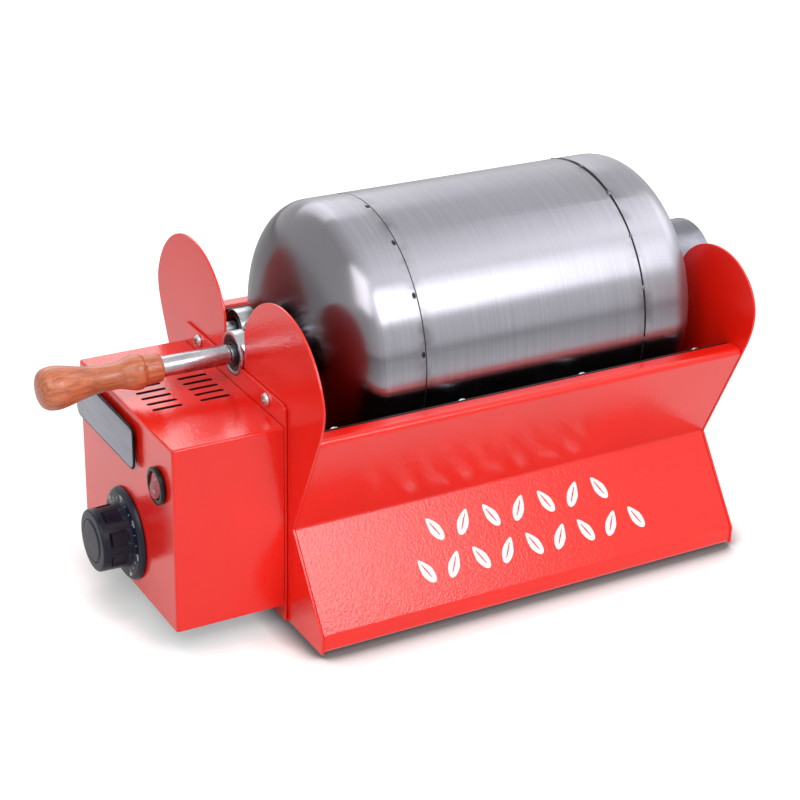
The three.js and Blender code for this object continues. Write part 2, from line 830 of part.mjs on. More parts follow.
function boxCover() {
  const outline = new THREE.Shape();
  outline.moveTo(-boxHalf + boxEdge, boxBottom - boxEdge);
  outline.lineTo(boxHalf - boxEdge, boxBottom - boxEdge);
  outline.lineTo(boxHalf - boxEdge, boxTop - boxEdge * 2);
  outline.absarc(boxHalf - boxEdge * 2, boxTop - boxEdge * 2, boxEdge, 0, Math.PI / 2);
  outline.absarc(-boxHalf + boxEdge * 2, boxTop - boxEdge * 2, boxEdge, Math.PI / 2, Math.PI);
  outline.closePath();
  const block = intoX(new THREE.ExtrudeGeometry(outline, {
    depth: boxLength - boxEdge + boxRear,
    bevelThickness: boxEdge,
    bevelSize: boxEdge,
    bevelSegments: bendSteps,
    curveSegments: bendSteps,
  }), -boxLength + boxEdge);
  const wide = boxHalf + overrun;
  const low = boxBottom - boxEdge * 2 - overrun;
  const rearTrim = alongX(rectangle(-wide, wide, low, boxTop + overrun), boxRear, boxRear + boxEdge + overrun);
  const bottomTrim = alongX(rectangle(-wide, wide, low, boxBottom), -boxLength - overrun, boxRear + overrun);
  const inside = alongX(
    rectangle(-boxHalf + boxWall, boxHalf - boxWall, boxBottom - overrun, boxTop - boxWall),
    -boxLength + boxWall, boxRear + overrun,
  );
  const slots = ventGroups.flatMap((centre) => Array.from({ length: ventCount }, (_, i) => {
    const y = (i - (ventCount - 1) / 2) * ventPitch;
    const outline = slot(-centre, y, ventLength, ventWidth);
    return alongZ(outline, boxTop - boxWall - overrun, boxTop + overrun, cornerSteps);
  }));
  const face = [-boxLength - overrun, -boxLength + boxWall + overrun];
  const knobHole = rod(...face, spindleRadius + fit).translate(0, 0, knobHeight);
  const switchHole = rod(...face, switchBodyRadius + fit, mediumSteps).translate(0, switchY, switchHeight);
  const glandHole = rodY(
    -glandX, glandHeight, boxHalf - boxWall - overrun, boxHalf + overrun, glandRadius + fit, mediumSteps,
  );
  return cut(block, rearTrim, bottomTrim, inside, ...slots, knobHole, switchHole, glandHole);
}

function boxFloor() {
  const half = boxHalf - boxWall - fit;
  const section = bentSheet([
    [half, boxBottom + floorTurnUp],
    [half, boxBottom],
    [-half, boxBottom],
    [-half, boxBottom + floorTurnUp],
  ], boxWall);
  return alongX(section, -boxLength + boxWall + fit, boxRear - fit);
}

// Gearmotor with an offset output shaft, its screws, the bush and the pinion.

function gearmotor() {
  const can = [
    [boxRear - motorLength, 0],
    [boxRear - motorLength, motorRadius - ringChamfer * 2],
    [boxRear - motorLength + ringChamfer * 2, motorRadius],
    [boxRear - fit, motorRadius],
    [boxRear - fit, 0],
  ];
  const ears = slot(0, 0, motorEarHalf * 2 + motorEarRadius * 2, motorEarRadius * 2);
  for (const side of [-1, 1]) ears.holes.push(hole(side * motorEarHalf, 0, screwRadius + fit));
  const flange = alongX(ears, boxRear - fit - motorFlangeThick, boxRear - fit, cornerSteps);
  const bore = rod(boxRear - outputShaftDepth, boxRear + overrun, outputShaftRadius + fit, mediumSteps);
  return cut(joined(turned(can, mediumSteps), flange), bore.translate(0, 0, motorShaftOffset));
}

function motorScrew() {
  return screw(motorFlangeThick + fit + backPlateThick + fit);
}

function shaftBush() {
  const bore = outputShaftRadius + fit;
  return turned([
    [backPlateFront, bore],
    [backPlateFront, bushRadius],
    [innerLeft, bushRadius],
    [innerLeft, bushFlangeRadius],
    [innerLeft + bushFlangeThick, bushFlangeRadius],
    [innerLeft + bushFlangeThick, bore],
  ], mediumSteps);
}

// Half the angle that an involute tooth takes up at the given radius.
function toothHalfAngle(teeth, radius) {
  const pitchRadius = gearModule * teeth / 2;
  const baseRadius = pitchRadius * Math.cos(pressureAngle);
  const rolled = (at) => {
    const ratio = Math.max(at / baseRadius, 1);
    return Math.sqrt(ratio ** 2 - 1) - Math.acos(1 / ratio);
  };
  return Math.PI / (2 * teeth) - gearBacklash / (4 * pitchRadius) + rolled(pitchRadius) - rolled(radius);
}

function gearShape(teeth, firstTooth, bore) {
  const pitchRadius = gearModule * teeth / 2;
  const root = pitchRadius - gearModule * 5 / 4;
  const tip = pitchRadius + gearModule;
  const radii = [root, pitchRadius, tip];
  const corners = [];
  for (let tooth = 0; tooth < teeth; tooth += 1) {
    const middle = firstTooth + tooth * Math.PI * 2 / teeth;
    const flank = radii.map((radius) => [radius, toothHalfAngle(teeth, radius)]);
    const rising = flank.map(([radius, half]) => [radius, middle - half]);
    const falling = flank.reverse().map(([radius, half]) => [radius, middle + half]);
    for (const [radius, angle] of [...rising, ...falling]) {
      corners.push(new THREE.Vector2(radius * Math.cos(angle), radius * Math.sin(angle)));
    }
  }
  const shape = new THREE.Shape(corners);
  shape.holes.push(hole(0, 0, bore, mediumSteps));
  return shape;
}

function hubGear() {
  return alongX(gearShape(hubGearTeeth, -Math.PI / 2, hubBossRadius + fit), gearStart, gearStart + gearWidth);
}

// The pinion has a gap at its top, where the hub gear's lowest tooth sits.
function drivePinion() {
  const bore = outputShaftRadius + fit;
  const shape = gearShape(pinionTeeth, Math.PI / 2 + Math.PI / pinionTeeth, bore);
  const teeth = alongX(shape, gearStart, gearStart + gearWidth);
  return joined(teeth, ring(gearStart - pinionBossLength, gearStart + gearWidth / 2, bore, pinionBossRadius));
}

// Thermostat, spindle and knob on the front face of the box.

function thermostat() {
  const front = -boxLength + boxWall + fit;
  const block = alongX(
    roundedRectangle(0, 0, thermostatHalf * 2, thermostatHalfHeight * 2, thermostatCorner),
    front, front + thermostatDepth, cornerSteps,
  );
  return cut(block, rod(front - overrun, front + spindleReach + fit, spindleRadius + fit));
}

function knobSpindle() {
  const front = -boxLength + boxWall + fit;
  return rod(switchFace - knobLength / 2, front + spindleReach, spindleRadius);
}

function thermostatKnob() {
  const back = switchFace;
  const front = back - knobLength - knobCapThick;
  const skirt = back - knobSkirtThick;
  const shape = turned([
    [front, 0],
    [front, knobFrontRadius - knobEdge],
    [front + knobEdge, knobFrontRadius],
    [skirt - knobEdge, knobRadius],
    [skirt, knobRadius + knobEdge / 2],
    [skirt, knobSkirtRadius - knobSkirtRim - knobSkirtRise],
    [skirt + knobSkirtRise, knobSkirtRadius - knobSkirtRim / 2],
    [back - knobSkirtRim / 2, knobSkirtRadius],
    [back, knobSkirtRadius],
    [back, 0],
  ], mediumSteps + knobPockets);
  const spindleBore = rod(back - knobLength / 2 - fit, back + overrun, spindleRadius + fit);
  const capRecess = rod(front - overrun, front + knobCapDepth + fit, knobCapRadius + fit, mediumSteps);
  const pocketWidth = knobRadius * 2 * Math.sin(Math.PI / knobPockets) * knobPocketShare;
  const pockets = Array.from({ length: knobPockets }, (_, i) => {
    const [floor, mouth] = [knobRadius - knobPocketDepth, knobRadius + overrun];
    const outline = rectangle(-pocketWidth / 2, pocketWidth / 2, floor, mouth);
    const pocket = alongX(outline, front + knobPocketEnd, skirt - knobPocketStart);
    return pocket.rotateX((i + 1 / 2) * Math.PI * 2 / knobPockets);
  });
  return cut(shape, spindleBore, capRecess, ...pockets);
}

function knobCap() {
  const back = switchFace - knobLength - knobCapThick + knobCapDepth;
  const front = back - knobCapDepth - knobCapThick / 2;
  return turned([
    [front, 0],
    [front, knobCapRadius - knobEdge],
    [front + knobCapThick / 2, knobCapRadius],
    [back, knobCapRadius],
    [back, 0],
  ], mediumSteps);
}

// Rocker switch: a round bezel with a body behind the face, and a rocker in its window.

function switchBody() {
  const front = switchFace - switchBezelThick;
  const shell = turned([
    [front, 0],
    [front, switchBezelRadius - ringChamfer * 2],
    [front + ringChamfer * 2, switchBezelRadius],
    [switchFace, switchBezelRadius],
    [switchFace, switchBodyRadius],
    [switchFace + switchBodyDepth, switchBodyRadius],
    [switchFace + switchBodyDepth, 0],
  ], mediumSteps);
  const window = rod(front - overrun, front + rockerDepth + fit, switchWindowRadius, mediumSteps);
  return cut(shell, window);
}

// The rocker is round in front view. It turns on the Y axis through its own origin, in the window's mouth.
function rocker() {
  const reach = rockerRadius;
  const front = -rockerThick / 2;
  const section = new THREE.Shape();
  section.moveTo(front, -reach);
  section.quadraticCurveTo(front + rockerSink, 0, front, reach);
  section.lineTo(rockerThick / 2, reach * 3 / 4);
  section.lineTo(rockerThick / 2, -reach * 3 / 4);
  section.closePath();
  const settings = { depth: reach * 2, bevelEnabled: false, curveSegments: knuckleSteps };
  const block = new THREE.ExtrudeGeometry(section, settings).rotateX(Math.PI / 2).translate(0, reach, 0);
  return overlap(block, rod(-rockerThick, rockerThick, reach, mediumSteps)).rotateY(rockerTilt);
}

// Blank plate on two pads.
function blankBadge() {
  const front = switchFace - badgeStand - badgeThick;
  const middle = badgeBottom + badgeHeight / 2;
  const plate = alongX(
    roundedRectangle(badgeY, middle, badgeWidth, badgeHeight, badgeCorner),
    front, front + badgeThick, cornerSteps,
  );
  const pads = [-1, 1].map((side) => rod(front + badgeThick / 2, switchFace, badgePadRadius)
    .translate(0, badgeY + side * badgePadHalf, middle));
  return joined(plate, ...pads);
}

// Cable gland: the origin is on its axis at the box wall, and it points to +Y.
function cableGland() {
  const hex = alongX(new THREE.Shape(polygon(6, glandHexRadius)), fit, fit + glandHexThick);
  const dome = turned([
    [fit + glandHexThick / 2, 0],
    [fit + glandHexThick / 2, glandDomeRadius],
    [fit + glandHexThick + glandDomeLength / 2, glandDomeRadius],
    [fit + glandHexThick + glandDomeLength, glandMouthRadius + glandMouthWall],
    [fit + glandHexThick + glandDomeLength, 0],
  ], mediumSteps);
  const thread = rod(-(boxWall + glandThread), fit + glandHexThick / 2, glandRadius, mediumSteps);
  const boreEnds = [-(boxWall + glandThread + overrun), glandHexThick + glandDomeLength + overrun];
  return cut(joined(hex, dome, thread), rod(...boreEnds, glandMouthRadius)).rotateZ(Math.PI / 2);
}

function glandNut() {
  const shape = new THREE.Shape(polygon(6, glandHexRadius));
  shape.holes.push(hole(0, 0, glandRadius + fit, mediumSteps));
  const start = -(boxWall + fit + glandNutThick);
  return alongX(shape, start, start + glandNutThick).rotateZ(Math.PI / 2);
}

function terminalBlock() {
  const [halfLength, halfWidth] = [terminalLength / 2, terminalWidth / 2];
  const outline = rectangle(-halfLength, halfLength, -halfWidth, halfWidth);
  for (let way = 0; way < terminalWays; way += 1) {
    const x = (way + 1 / 2 - terminalWays / 2) * terminalLength / terminalWays;
    outline.holes.push(hole(x, -halfWidth / 2, terminalHole), hole(x, halfWidth / 2, terminalHole));
  }
  return alongZ(outline, 0, terminalHeight, cornerSteps);
}

const motorPlace = [0, 0, pinionHeight - motorShaftOffset];
const motorScrewPlace = (side) => [boxRear - fit - motorFlangeThick - fit, side * motorEarHalf, motorPlace[2]];
const outputPlace = [0, 0, pinionHeight];
const thermostatPlace = [0, 0, knobHeight];
const switchPlace = [0, switchY, switchHeight];
const rockerPlace = [switchFace - switchBezelThick + rockerThick / 2, switchY, switchHeight];
const glandPlace = [-glandX, boxHalf, glandHeight];
const motorShaft = rod(boxRear - outputShaftDepth + fit, outputShaftEnd, outputShaftRadius);
const terminalPlace = [-terminalX, terminalY, boxBottom + boxWall + fit];
const flangeScrewPlace = (side) => [backPlateFront - fit, side * flangeScrewHalf, flangeScrewHeight];

add(controlBox, 'box_back_plate', boxBackPlate(), finish.red);
add(controlBox, 'flange_screw_front', flangeScrew(), finish.steel, flangeScrewPlace(-1));
add(controlBox, 'flange_screw_back', flangeScrew(), finish.steel, flangeScrewPlace(1));
add(controlBox, 'box_cover', boxCover(), finish.red);
add(controlBox, 'box_floor', boxFloor(), finish.zinc);
add(controlBox, 'gearmotor', gearmotor(), finish.zinc, motorPlace);
add(controlBox, 'motor_screw_front', motorScrew(), finish.steel, motorScrewPlace(-1));
add(controlBox, 'motor_screw_back', motorScrew(), finish.steel, motorScrewPlace(1));
add(controlBox, 'shaft_bush', shaftBush(), finish.bronze, outputPlace);
add(controlBox, 'motor_shaft', motorShaft, finish.steel, outputPlace);
add(controlBox, 'drive_pinion', drivePinion(), finish.darkSteel, outputPlace);
add(controlBox, 'thermostat', thermostat(), finish.plastic, thermostatPlace);
add(controlBox, 'knob_spindle', knobSpindle(), finish.steel, thermostatPlace);
add(controlBox, 'thermostat_knob', thermostatKnob(), finish.plastic, thermostatPlace);
add(controlBox, 'knob_cap', knobCap(), finish.plastic, thermostatPlace);
add(controlBox, 'switch_body', switchBody(), finish.plastic, switchPlace);
add(controlBox, 'switch_rocker', rocker(), finish.lens, rockerPlace);
add(controlBox, 'blank_badge', blankBadge(), finish.stainless);
add(controlBox, 'cable_gland', cableGland(), finish.plastic, glandPlace);
add(controlBox, 'gland_nut', glandNut(), finish.plastic, glandPlace);
add(controlBox, 'terminal_block', terminalBlock(), finish.ceramic, terminalPlace);

// Rollers. Guide rollers steady the hub from both sides, neck rollers carry the drum's mouth.

function guideRoller() {
  const corners = [];
  for (let i = 0; i < guideKnurls; i += 1) {
    const step = Math.PI * 2 / guideKnurls;
    for (const [share, radius] of [[0, guideRollerRadius], [1 / 2, guideRollerRadius - guideKnurlDepth]]) {
      const angle = (i + share) * step;
      corners.push(new THREE.Vector2(radius * Math.cos(angle), radius * Math.sin(angle)));
    }
  }
  const shape = new THREE.Shape(corners);
  shape.holes.push(hole(0, 0, guideStudRadius + fit, smallSteps));
  const roller = alongX(shape, 0, guideRollerLength, cornerSteps);
  return cut(roller, ring(-overrun, guideRecessDepth, guideRecessInner, guideRecessOuter));
}

// Guide stud, whose wide foot is welded to the inner face of the left end plate.
function guideStud() {
  const rollerEnd = guideRollerStart + guideRollerLength;
  return turned([
    [innerLeft, 0],
    [innerLeft, guideCollarRadius],
    [innerLeft + guideCollarThick, guideCollarRadius],
    [innerLeft + guideCollarThick, guideSpacerRadius],
    [guideRollerStart - fit, guideSpacerRadius],
    [guideRollerStart - fit, guideStudRadius],
    [rollerEnd + fit, guideStudRadius],
    [rollerEnd + fit, guideClipRadius],
    [rollerEnd + fit + guideClipThick, guideClipRadius],
    [rollerEnd + fit + guideClipThick, 0],
  ], smallSteps);
}

function neckRoller() {
  const high = neckRollerWidth - rollerGrooveDepth;
  return turned([
    [0, neckRollerBore],
    [0, neckRollerRadius - ringChamfer],
    [ringChamfer, neckRollerRadius],
    [neckRollerWidth - ringChamfer, neckRollerRadius],
    [neckRollerWidth, neckRollerRadius - ringChamfer],
    [neckRollerWidth, rollerGrooveOuter],
    [high, rollerGrooveOuter],
    [high, rollerGrooveInner],
    [neckRollerWidth, rollerGrooveInner],
    [neckRollerWidth, neckRollerBore],
  ], mediumSteps);
}

function neckStud() {
  const rollerEnd = neckRollerStart + neckRollerWidth;
  const shank = turned([
    [innerRight - studNutThick - fit, 0],
    [innerRight - studNutThick - fit, neckThreadRadius],
    [plateSpan + fit, neckThreadRadius],
    [plateSpan + fit, rollerGrooveInner],
    [neckRollerStart - fit, rollerGrooveInner],
    [neckRollerStart - fit, neckStudRadius],
    [rollerEnd + studHexThick / 2, neckStudRadius],
    [rollerEnd + studHexThick / 2, 0],
  ], smallSteps);
  const hex = new THREE.Shape(polygon(6, studHexRadius));
  const head = alongX(hex, rollerEnd + fit, rollerEnd + fit + studHexThick);
  return joined(shank, head);
}

function studNut() {
  const shape = new THREE.Shape(polygon(6, studHexRadius));
  shape.holes.push(hole(0, 0, neckThreadRadius + fit, smallSteps));
  return alongX(shape, innerRight - studNutThick, innerRight, cornerSteps);
}

const guidePlace = (side, x = 0) => [x, side * guideRollerY, axisHeight + guideRollerRise];
const neckPlace = (side, x = 0) => [x, ...neckRollerPlace(side)];

for (const [name, side] of [['front', -1], ['back', 1]]) {
  add(body, `guide_stud_${name}`, guideStud(), finish.steel, guidePlace(side));
  add(body, `guide_roller_${name}`, guideRoller(), finish.steel, guidePlace(side, guideRollerStart));
  add(body, `neck_stud_${name}`, neckStud(), finish.steel, neckPlace(side));
  add(body, `neck_stud_nut_${name}`, studNut(), finish.steel, neckPlace(side));
  add(body, `neck_roller_${name}`, neckRoller(), finish.steel, neckPlace(side, neckRollerStart));
}

// Ball bearing at the handle end. Its outer ring sits in the notch of the left end plate.

const bearingEnd = bearingStart + bearingWidth;
const bearingMiddle = bearingStart + bearingWidth / 2;
const ballCircle = (outerRingInner + innerRingOuter) / 2;

// The groove that the balls run in: side is 1 in the outer ring and -1 in the inner ring.
function race(side) {
  return Array.from({ length: raceSteps + 1 }, (_, i) => {
    const angle = (i / raceSteps * 2 - 1) * raceAngle;
    const reach = ballRadius + fit;
    return [bearingMiddle + reach * Math.sin(angle), ballCircle + side * reach * Math.cos(angle)];
  });
}

function bearingOuterRing() {
  const shieldEdge = innerRingOuter + fit * 2;
  const face = (start, inward) => [
    [start + inward * (shieldRecess + shieldThick), outerRingInner],
    [start + inward * (shieldRecess + shieldThick), shieldEdge],
    [start + inward * shieldRecess, shieldEdge],
    [start + inward * shieldRecess, outerRingInner],
    [start, outerRingInner],
    [start, bearingRadius - ringChamfer],
    [start + inward * ringChamfer, bearingRadius],
  ];
  const faces = [...face(bearingStart, 1), ...face(bearingEnd, -1).reverse()];
  return turned([...faces, ...race(1).reverse()], mediumSteps);
}

function bearingInnerRing() {
  return turned([
    [bearingStart, bearingBoreRadius],
    [bearingStart, innerRingOuter],
    ...race(-1),
    [bearingEnd, innerRingOuter],
    [bearingEnd, bearingBoreRadius],
  ], mediumSteps);
}

// Balls and the cage that spaces them, as one piece.
function ballCage() {
  const [inner, outer] = [ballCircle - cageThick / 2, ballCircle + cageThick / 2];
  const band = ring(-cageWidth / 2, cageWidth / 2, inner, outer, ballCount * 2);
  const balls = Array.from({ length: ballCount }, (_, i) => {
    const angle = i * Math.PI * 2 / ballCount;
    const ball = new THREE.SphereGeometry(ballRadius, ballSteps, ballSteps / 2 + 1);
    return ball.translate(0, ballCircle * Math.cos(angle), ballCircle * Math.sin(angle));
  });
  return joined(band, ...balls);
}

// Drum: two domes, a shell with mixing flights, and the neck that is its mouth.

// A quarter ellipse that turns the flat of a dome into its wall.
function knuckle(flatAt, direction, length, depth, radius) {
  return Array.from({ length: knuckleSteps + 1 }, (_, i) => {
    const angle = i / knuckleSteps * Math.PI / 2;
    return [
      flatAt + direction * length * (1 - Math.cos(angle)),
      radius - depth * (1 - Math.sin(angle)),
    ];
  });
}

function dome(flatAt, seam, length, depth, bore) {
  const inward = Math.sign(seam - flatAt);
  const outer = knuckle(flatAt, inward, length, depth, drumRadius);
  const inner = knuckle(
    flatAt + inward * drumWall, inward, length - drumWall, depth - drumWall, drumRadius - drumWall,
  );
  return turned([
    [flatAt, bore],
    ...outer,
    [seam, drumRadius],
    [seam, drumRadius - drumWall],
    ...inner.reverse(),
    [flatAt + inward * drumWall, bore],
  ], largeSteps);
}

function drumShell() {
  const shell = ring(rearSeam + fit / 2, frontSeam - fit / 2, drumRadius - drumWall, drumRadius, largeSteps);
  const [start, end] = [rearSeam + flightMargin, frontSeam - flightMargin];
  const flights = Array.from({ length: flightCount }, (_, i) => {
    const outer = drumRadius - drumWall / 2;
    const blade = new THREE.ExtrudeGeometry(
      rectangle(-flightThick / 2, flightThick / 2, outer - flightHeight, outer),
      { depth: end - start, steps: flightSteps, bevelEnabled: false },
    );
    intoX(blade, start);
    const corners = blade.getAttribute('position');
    const corner = new THREE.Vector3();
    for (let k = 0; k < corners.count; k += 1) {
      corner.fromBufferAttribute(corners, k);
      const angle = i * Math.PI * 2 / flightCount + flightTwist * (corner.x - start) / (end - start);
      corner.applyAxisAngle(new THREE.Vector3(1, 0, 0), angle);
      corners.setXYZ(k, corner.x, corner.y, corner.z);
    }
    return blade;
  });
  return joined(shell, ...flights);
}

function drumNeck() {
  const inner = neckRadius - neckWall;
  return turned([
    [drumEnd - neckTail, inner],
    [drumEnd - neckTail, neckRadius],
    [neckEnd - neckLip, neckRadius],
    [neckEnd, neckRadius - neckLip],
    [neckEnd, inner + neckLip / 2],
    [neckEnd - neckLip / 2, inner],
  ], largeSteps);
}

// Hub: a smooth track between the guide rollers, and a boss that carries the gear and the dome.
function drumHub() {
  const bore = shaftRadius + fit;
  const shoulder = gearStart - fit;
  const tail = drumStart + hubBossTail;
  return turned([
    [hubTrackStart, bore],
    [hubTrackStart, hubTrackRadius - hubChamfer],
    [hubTrackStart + hubChamfer, hubTrackRadius],
    [shoulder, hubTrackRadius],
    [shoulder, hubBossRadius],
    [tail, hubBossRadius],
    [tail, bore],
  ], mediumSteps);
}

function hubBacking() {
  const start = drumStart + drumWall + fit;
  return ring(start, start + backingThick, hubBossRadius + fit, backingRadius);
}

// Shaft: a journal in the bearing, a shoulder behind it, and a spigot that screws into the rod.
function drumShaft() {
  const journalEnd = bearingEnd + fit;
  const rodFace = bearingStart - journalProud;
  return turned([
    [rodFace - spigotLength, 0],
    [rodFace - spigotLength, spigotRadius],
    [rodFace, spigotRadius],
    [rodFace, journalRadius],
    [journalEnd, journalRadius],
    [journalEnd, shaftRadius],
    [shaftEnd, shaftRadius],
    [shaftEnd, 0],
  ], mediumSteps);
}

function handleRod() {
  const start = bearingStart - rodGap;
  const boreEnd = bearingStart - journalProud - spigotLength - fit;
  return turned([
    [start, spigotRadius + fit],
    [start, rodRadius - rodChamfer],
    [start - rodChamfer, rodRadius],
    [-rodEnd, rodRadius],
    [-rodEnd, pinRadius],
    [-(rodEnd + pinLength), pinRadius],
    [-(rodEnd + pinLength), 0],
    [boreEnd, 0],
    [boreEnd, spigotRadius + fit],
  ], mediumSteps);
}

function woodGrip() {
  const outline = new THREE.SplineCurve(gripOutlineShares.map(
    ([along, radius]) => new THREE.Vector2(gripStart - along * gripLength, radius * gripRadius),
  ));
  const side = outline.getPoints(gripSteps).map((point) => [point.x, point.y]);
  const bore = pinRadius + fit;
  const boreEnd = -(rodEnd + pinLength + fit);
  return turned([[boreEnd, 0], [boreEnd, bore], [gripStart, bore], ...side, [gripEnd, 0]], mediumSteps);
}

const rearDome = dome(drumStart, rearSeam - fit / 2, rearKnuckleLength, rearKnuckleDepth, hubBossRadius + fit);
const frontDome = dome(drumEnd, frontSeam + fit / 2, frontKnuckleLength, frontKnuckleDepth, neckRadius + fit);

add(drum, 'bearing_outer_ring', bearingOuterRing(), finish.steel);
add(drum, 'ball_cage', ballCage(), finish.steel, [bearingMiddle, 0, 0]);
add(drum, 'bearing_inner_ring', bearingInnerRing(), finish.steel);
add(drum, 'drum_shaft', drumShaft(), finish.steel);
add(drum, 'handle_rod', handleRod(), finish.stainless);
add(drum, 'wood_grip', woodGrip(), finish.wood);
add(drum, 'drum_hub', drumHub(), finish.steel);
add(drum, 'hub_gear', hubGear(), finish.darkSteel);
add(drum, 'hub_backing', hubBacking(), finish.stainless);
add(drum, 'rear_dome', rearDome, finish.stainless);
add(drum, 'drum_shell', drumShell(), finish.stainless);
add(drum, 'front_dome', frontDome, finish.stainless);
add(drum, 'drum_neck', drumNeck(), finish.stainless);

export default machine;
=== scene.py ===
"""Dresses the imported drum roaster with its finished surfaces, small fasteners, camera, light and floor."""

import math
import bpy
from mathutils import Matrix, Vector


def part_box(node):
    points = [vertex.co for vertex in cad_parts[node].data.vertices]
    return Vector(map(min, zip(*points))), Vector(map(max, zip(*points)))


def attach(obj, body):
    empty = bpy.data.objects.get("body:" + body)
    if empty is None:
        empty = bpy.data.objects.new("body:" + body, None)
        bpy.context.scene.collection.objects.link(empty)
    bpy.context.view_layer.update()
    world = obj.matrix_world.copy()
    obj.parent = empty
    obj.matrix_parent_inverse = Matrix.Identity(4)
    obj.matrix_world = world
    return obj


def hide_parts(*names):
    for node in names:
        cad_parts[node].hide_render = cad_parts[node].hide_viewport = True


bl_info = {
    "name": "Drum Roaster Builder",
    "version": (1, 0, 0),
    "blender": (4, 5, 0),
    "location": "3D View > Sidebar > Roaster",
    "description": "Builds the finished surfaces of a table-top drum roaster round its packed CAD model",
    "category": "Add Mesh",
}

import bmesh
import bpy
from mathutils import Matrix, Vector

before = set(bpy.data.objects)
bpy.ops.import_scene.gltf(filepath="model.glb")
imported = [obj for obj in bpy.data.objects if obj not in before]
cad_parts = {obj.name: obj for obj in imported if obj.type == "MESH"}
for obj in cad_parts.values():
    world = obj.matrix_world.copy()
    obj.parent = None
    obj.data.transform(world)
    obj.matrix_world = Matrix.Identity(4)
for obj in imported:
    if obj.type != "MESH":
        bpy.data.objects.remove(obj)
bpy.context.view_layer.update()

MM = 0.001
FULL_TURN = 2 * math.pi
QUARTER = math.pi / 2

# Everything below is built in millimetres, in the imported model's own frame, and scaled once at the end.


def corners_of(node):
    """Gives the lowest and highest corners of a CAD node in millimetres."""
    low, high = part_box(node)
    return low / MM, high / MM


def centre_of(node):
    """Gives the middle of a CAD node's box in millimetres."""
    low, high = corners_of(node)
    return (low + high) / 2


# Datum faces and axes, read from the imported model
LEFT_FACE = corners_of("left_end_plate")[0].x
RIGHT_FACE = corners_of("right_end_plate")[1].x
BODY_BOTTOM = corners_of("left_end_plate")[0].z
AXIS_HEIGHT = centre_of("bearing_outer_ring").z
BOX_LOW, BOX_HIGH = corners_of("box_cover")
FIT = 0.3

# Outline of the end plates and the bent panels, as (half depth, height above the body's bottom edge)
PLATE_THICK = 1.5
PLATE_PROUD = 0.4
PANEL_THICK = 1.5
BASE_HALF = 109.8
STRIP_HEIGHT = 10.8
WAIST = (73.9, 61.7)
LIP = (105.1, 128.7)
LIP_WIDTH = 14.2
LIP_DROP = 9
FOOT_FLANGE = 12
FOOT_SCREW_SEAT = 2.2
FOOT_SCREW_SHARE = 0.8
CUT_EDGE = 0.2
LEFT_EAR = {"half_width": 51.6, "half_height": 52, "height": 138, "inset": 4.4, "start": 0.31}
RIGHT_EAR = {"half_width": 37.5, "half_height": 32, "height": 151, "inset": 0, "start": 0.09}
BEARING_NOTCH = 13.3
MOUTH_NOTCH = 36.5
EAR_STEPS = 40
NOTCH_STEPS = 40
FLARE_STEPS = 12
BEND_STEPS = 6

# Holes in the end plates: places across, heights above the body's bottom edge, and radii
ELEMENT_LEGS = (-36, -14, 14, 36)
ELEMENT_HEIGHT = 47
ELEMENT_HOLE = 3.6
NECK_STUD = (28.288, 110.235, 3.3)
BUSH_HOLE = 6.6

# Heat trough, as (half depth, height above the body's bottom edge)
TROUGH_THICK = 1.2
TROUGH_SHOULDER = (68, 66)
TROUGH_FLOOR = (44, 36)
TROUGH_FLANGE = 11
TROUGH_GAP = 1
TROUGH_SCREWS = 4
TROUGH_SCREW_START = 17.8
TROUGH_SCREW_PITCH = 80.7
TROUGH_SCREW_DROP = 4.2

# Drum, counted from the left end plate's outer face
DRUM_RADIUS = 80
DRUM_WALL = 1.5
DRUM_START = 32.4
REAR_SEAM = 80.4
FRONT_SEAM = 228.6
DRUM_END = 275.2
REAR_KNUCKLE = (26.8, 43.2)
FRONT_KNUCKLE = (24.3, 38.5)
HUB_BORE = 12.3
NECK_RADIUS = 30.2
NECK_WALL = 1.5
NECK_START = 272.7
NECK_END = 317.4
FLIGHT_HEIGHT = 13
FLIGHT_THICK = 1.5
FLIGHT_MARGIN = 10
FLIGHT_TWIST = 0.9
FLIGHTS = 3
FLIGHT_STEPS = 40
DRUM_STEPS = 192
KNUCKLE_STEPS = 18
GAPE = 1.0
GAPE_RISE = (45, 100)
GAPE_FALL = (170, 130)
TACK_PROUD = 0.6
TACK_STRETCH = (0.8, 1.2, 1, 1)
TACK_START = math.radians(-42)
PIT_COUNT = 15
PIT_START = math.radians(7.8)
PIT_RADIUS = 1.6
PIT_PROUD = 0.12

# Turned grip: shares of its length and radius, from its joint with the rod to its butt
GRIP_START = -45.8
GRIP_LENGTH = 72.5
GRIP_RADIUS = 12.3
GRIP_BORE = 4.3
GRIP_BORE_DEPTH = 52
GRIP_SHARES = (
    (0, 0.6), (0.02, 0.66), (0.1, 0.69), (0.145, 0.71), (0.165, 0.8), (0.195, 0.835), (0.235, 0.81),
    (0.3, 0.69), (0.36, 0.615), (0.47, 0.61), (0.56, 0.66), (0.68, 0.8), (0.79, 0.95), (0.86, 1),
    (0.93, 0.94), (0.97, 0.76), (0.99, 0.45), (1, 0),
)
GRIP_FINENESS = 6

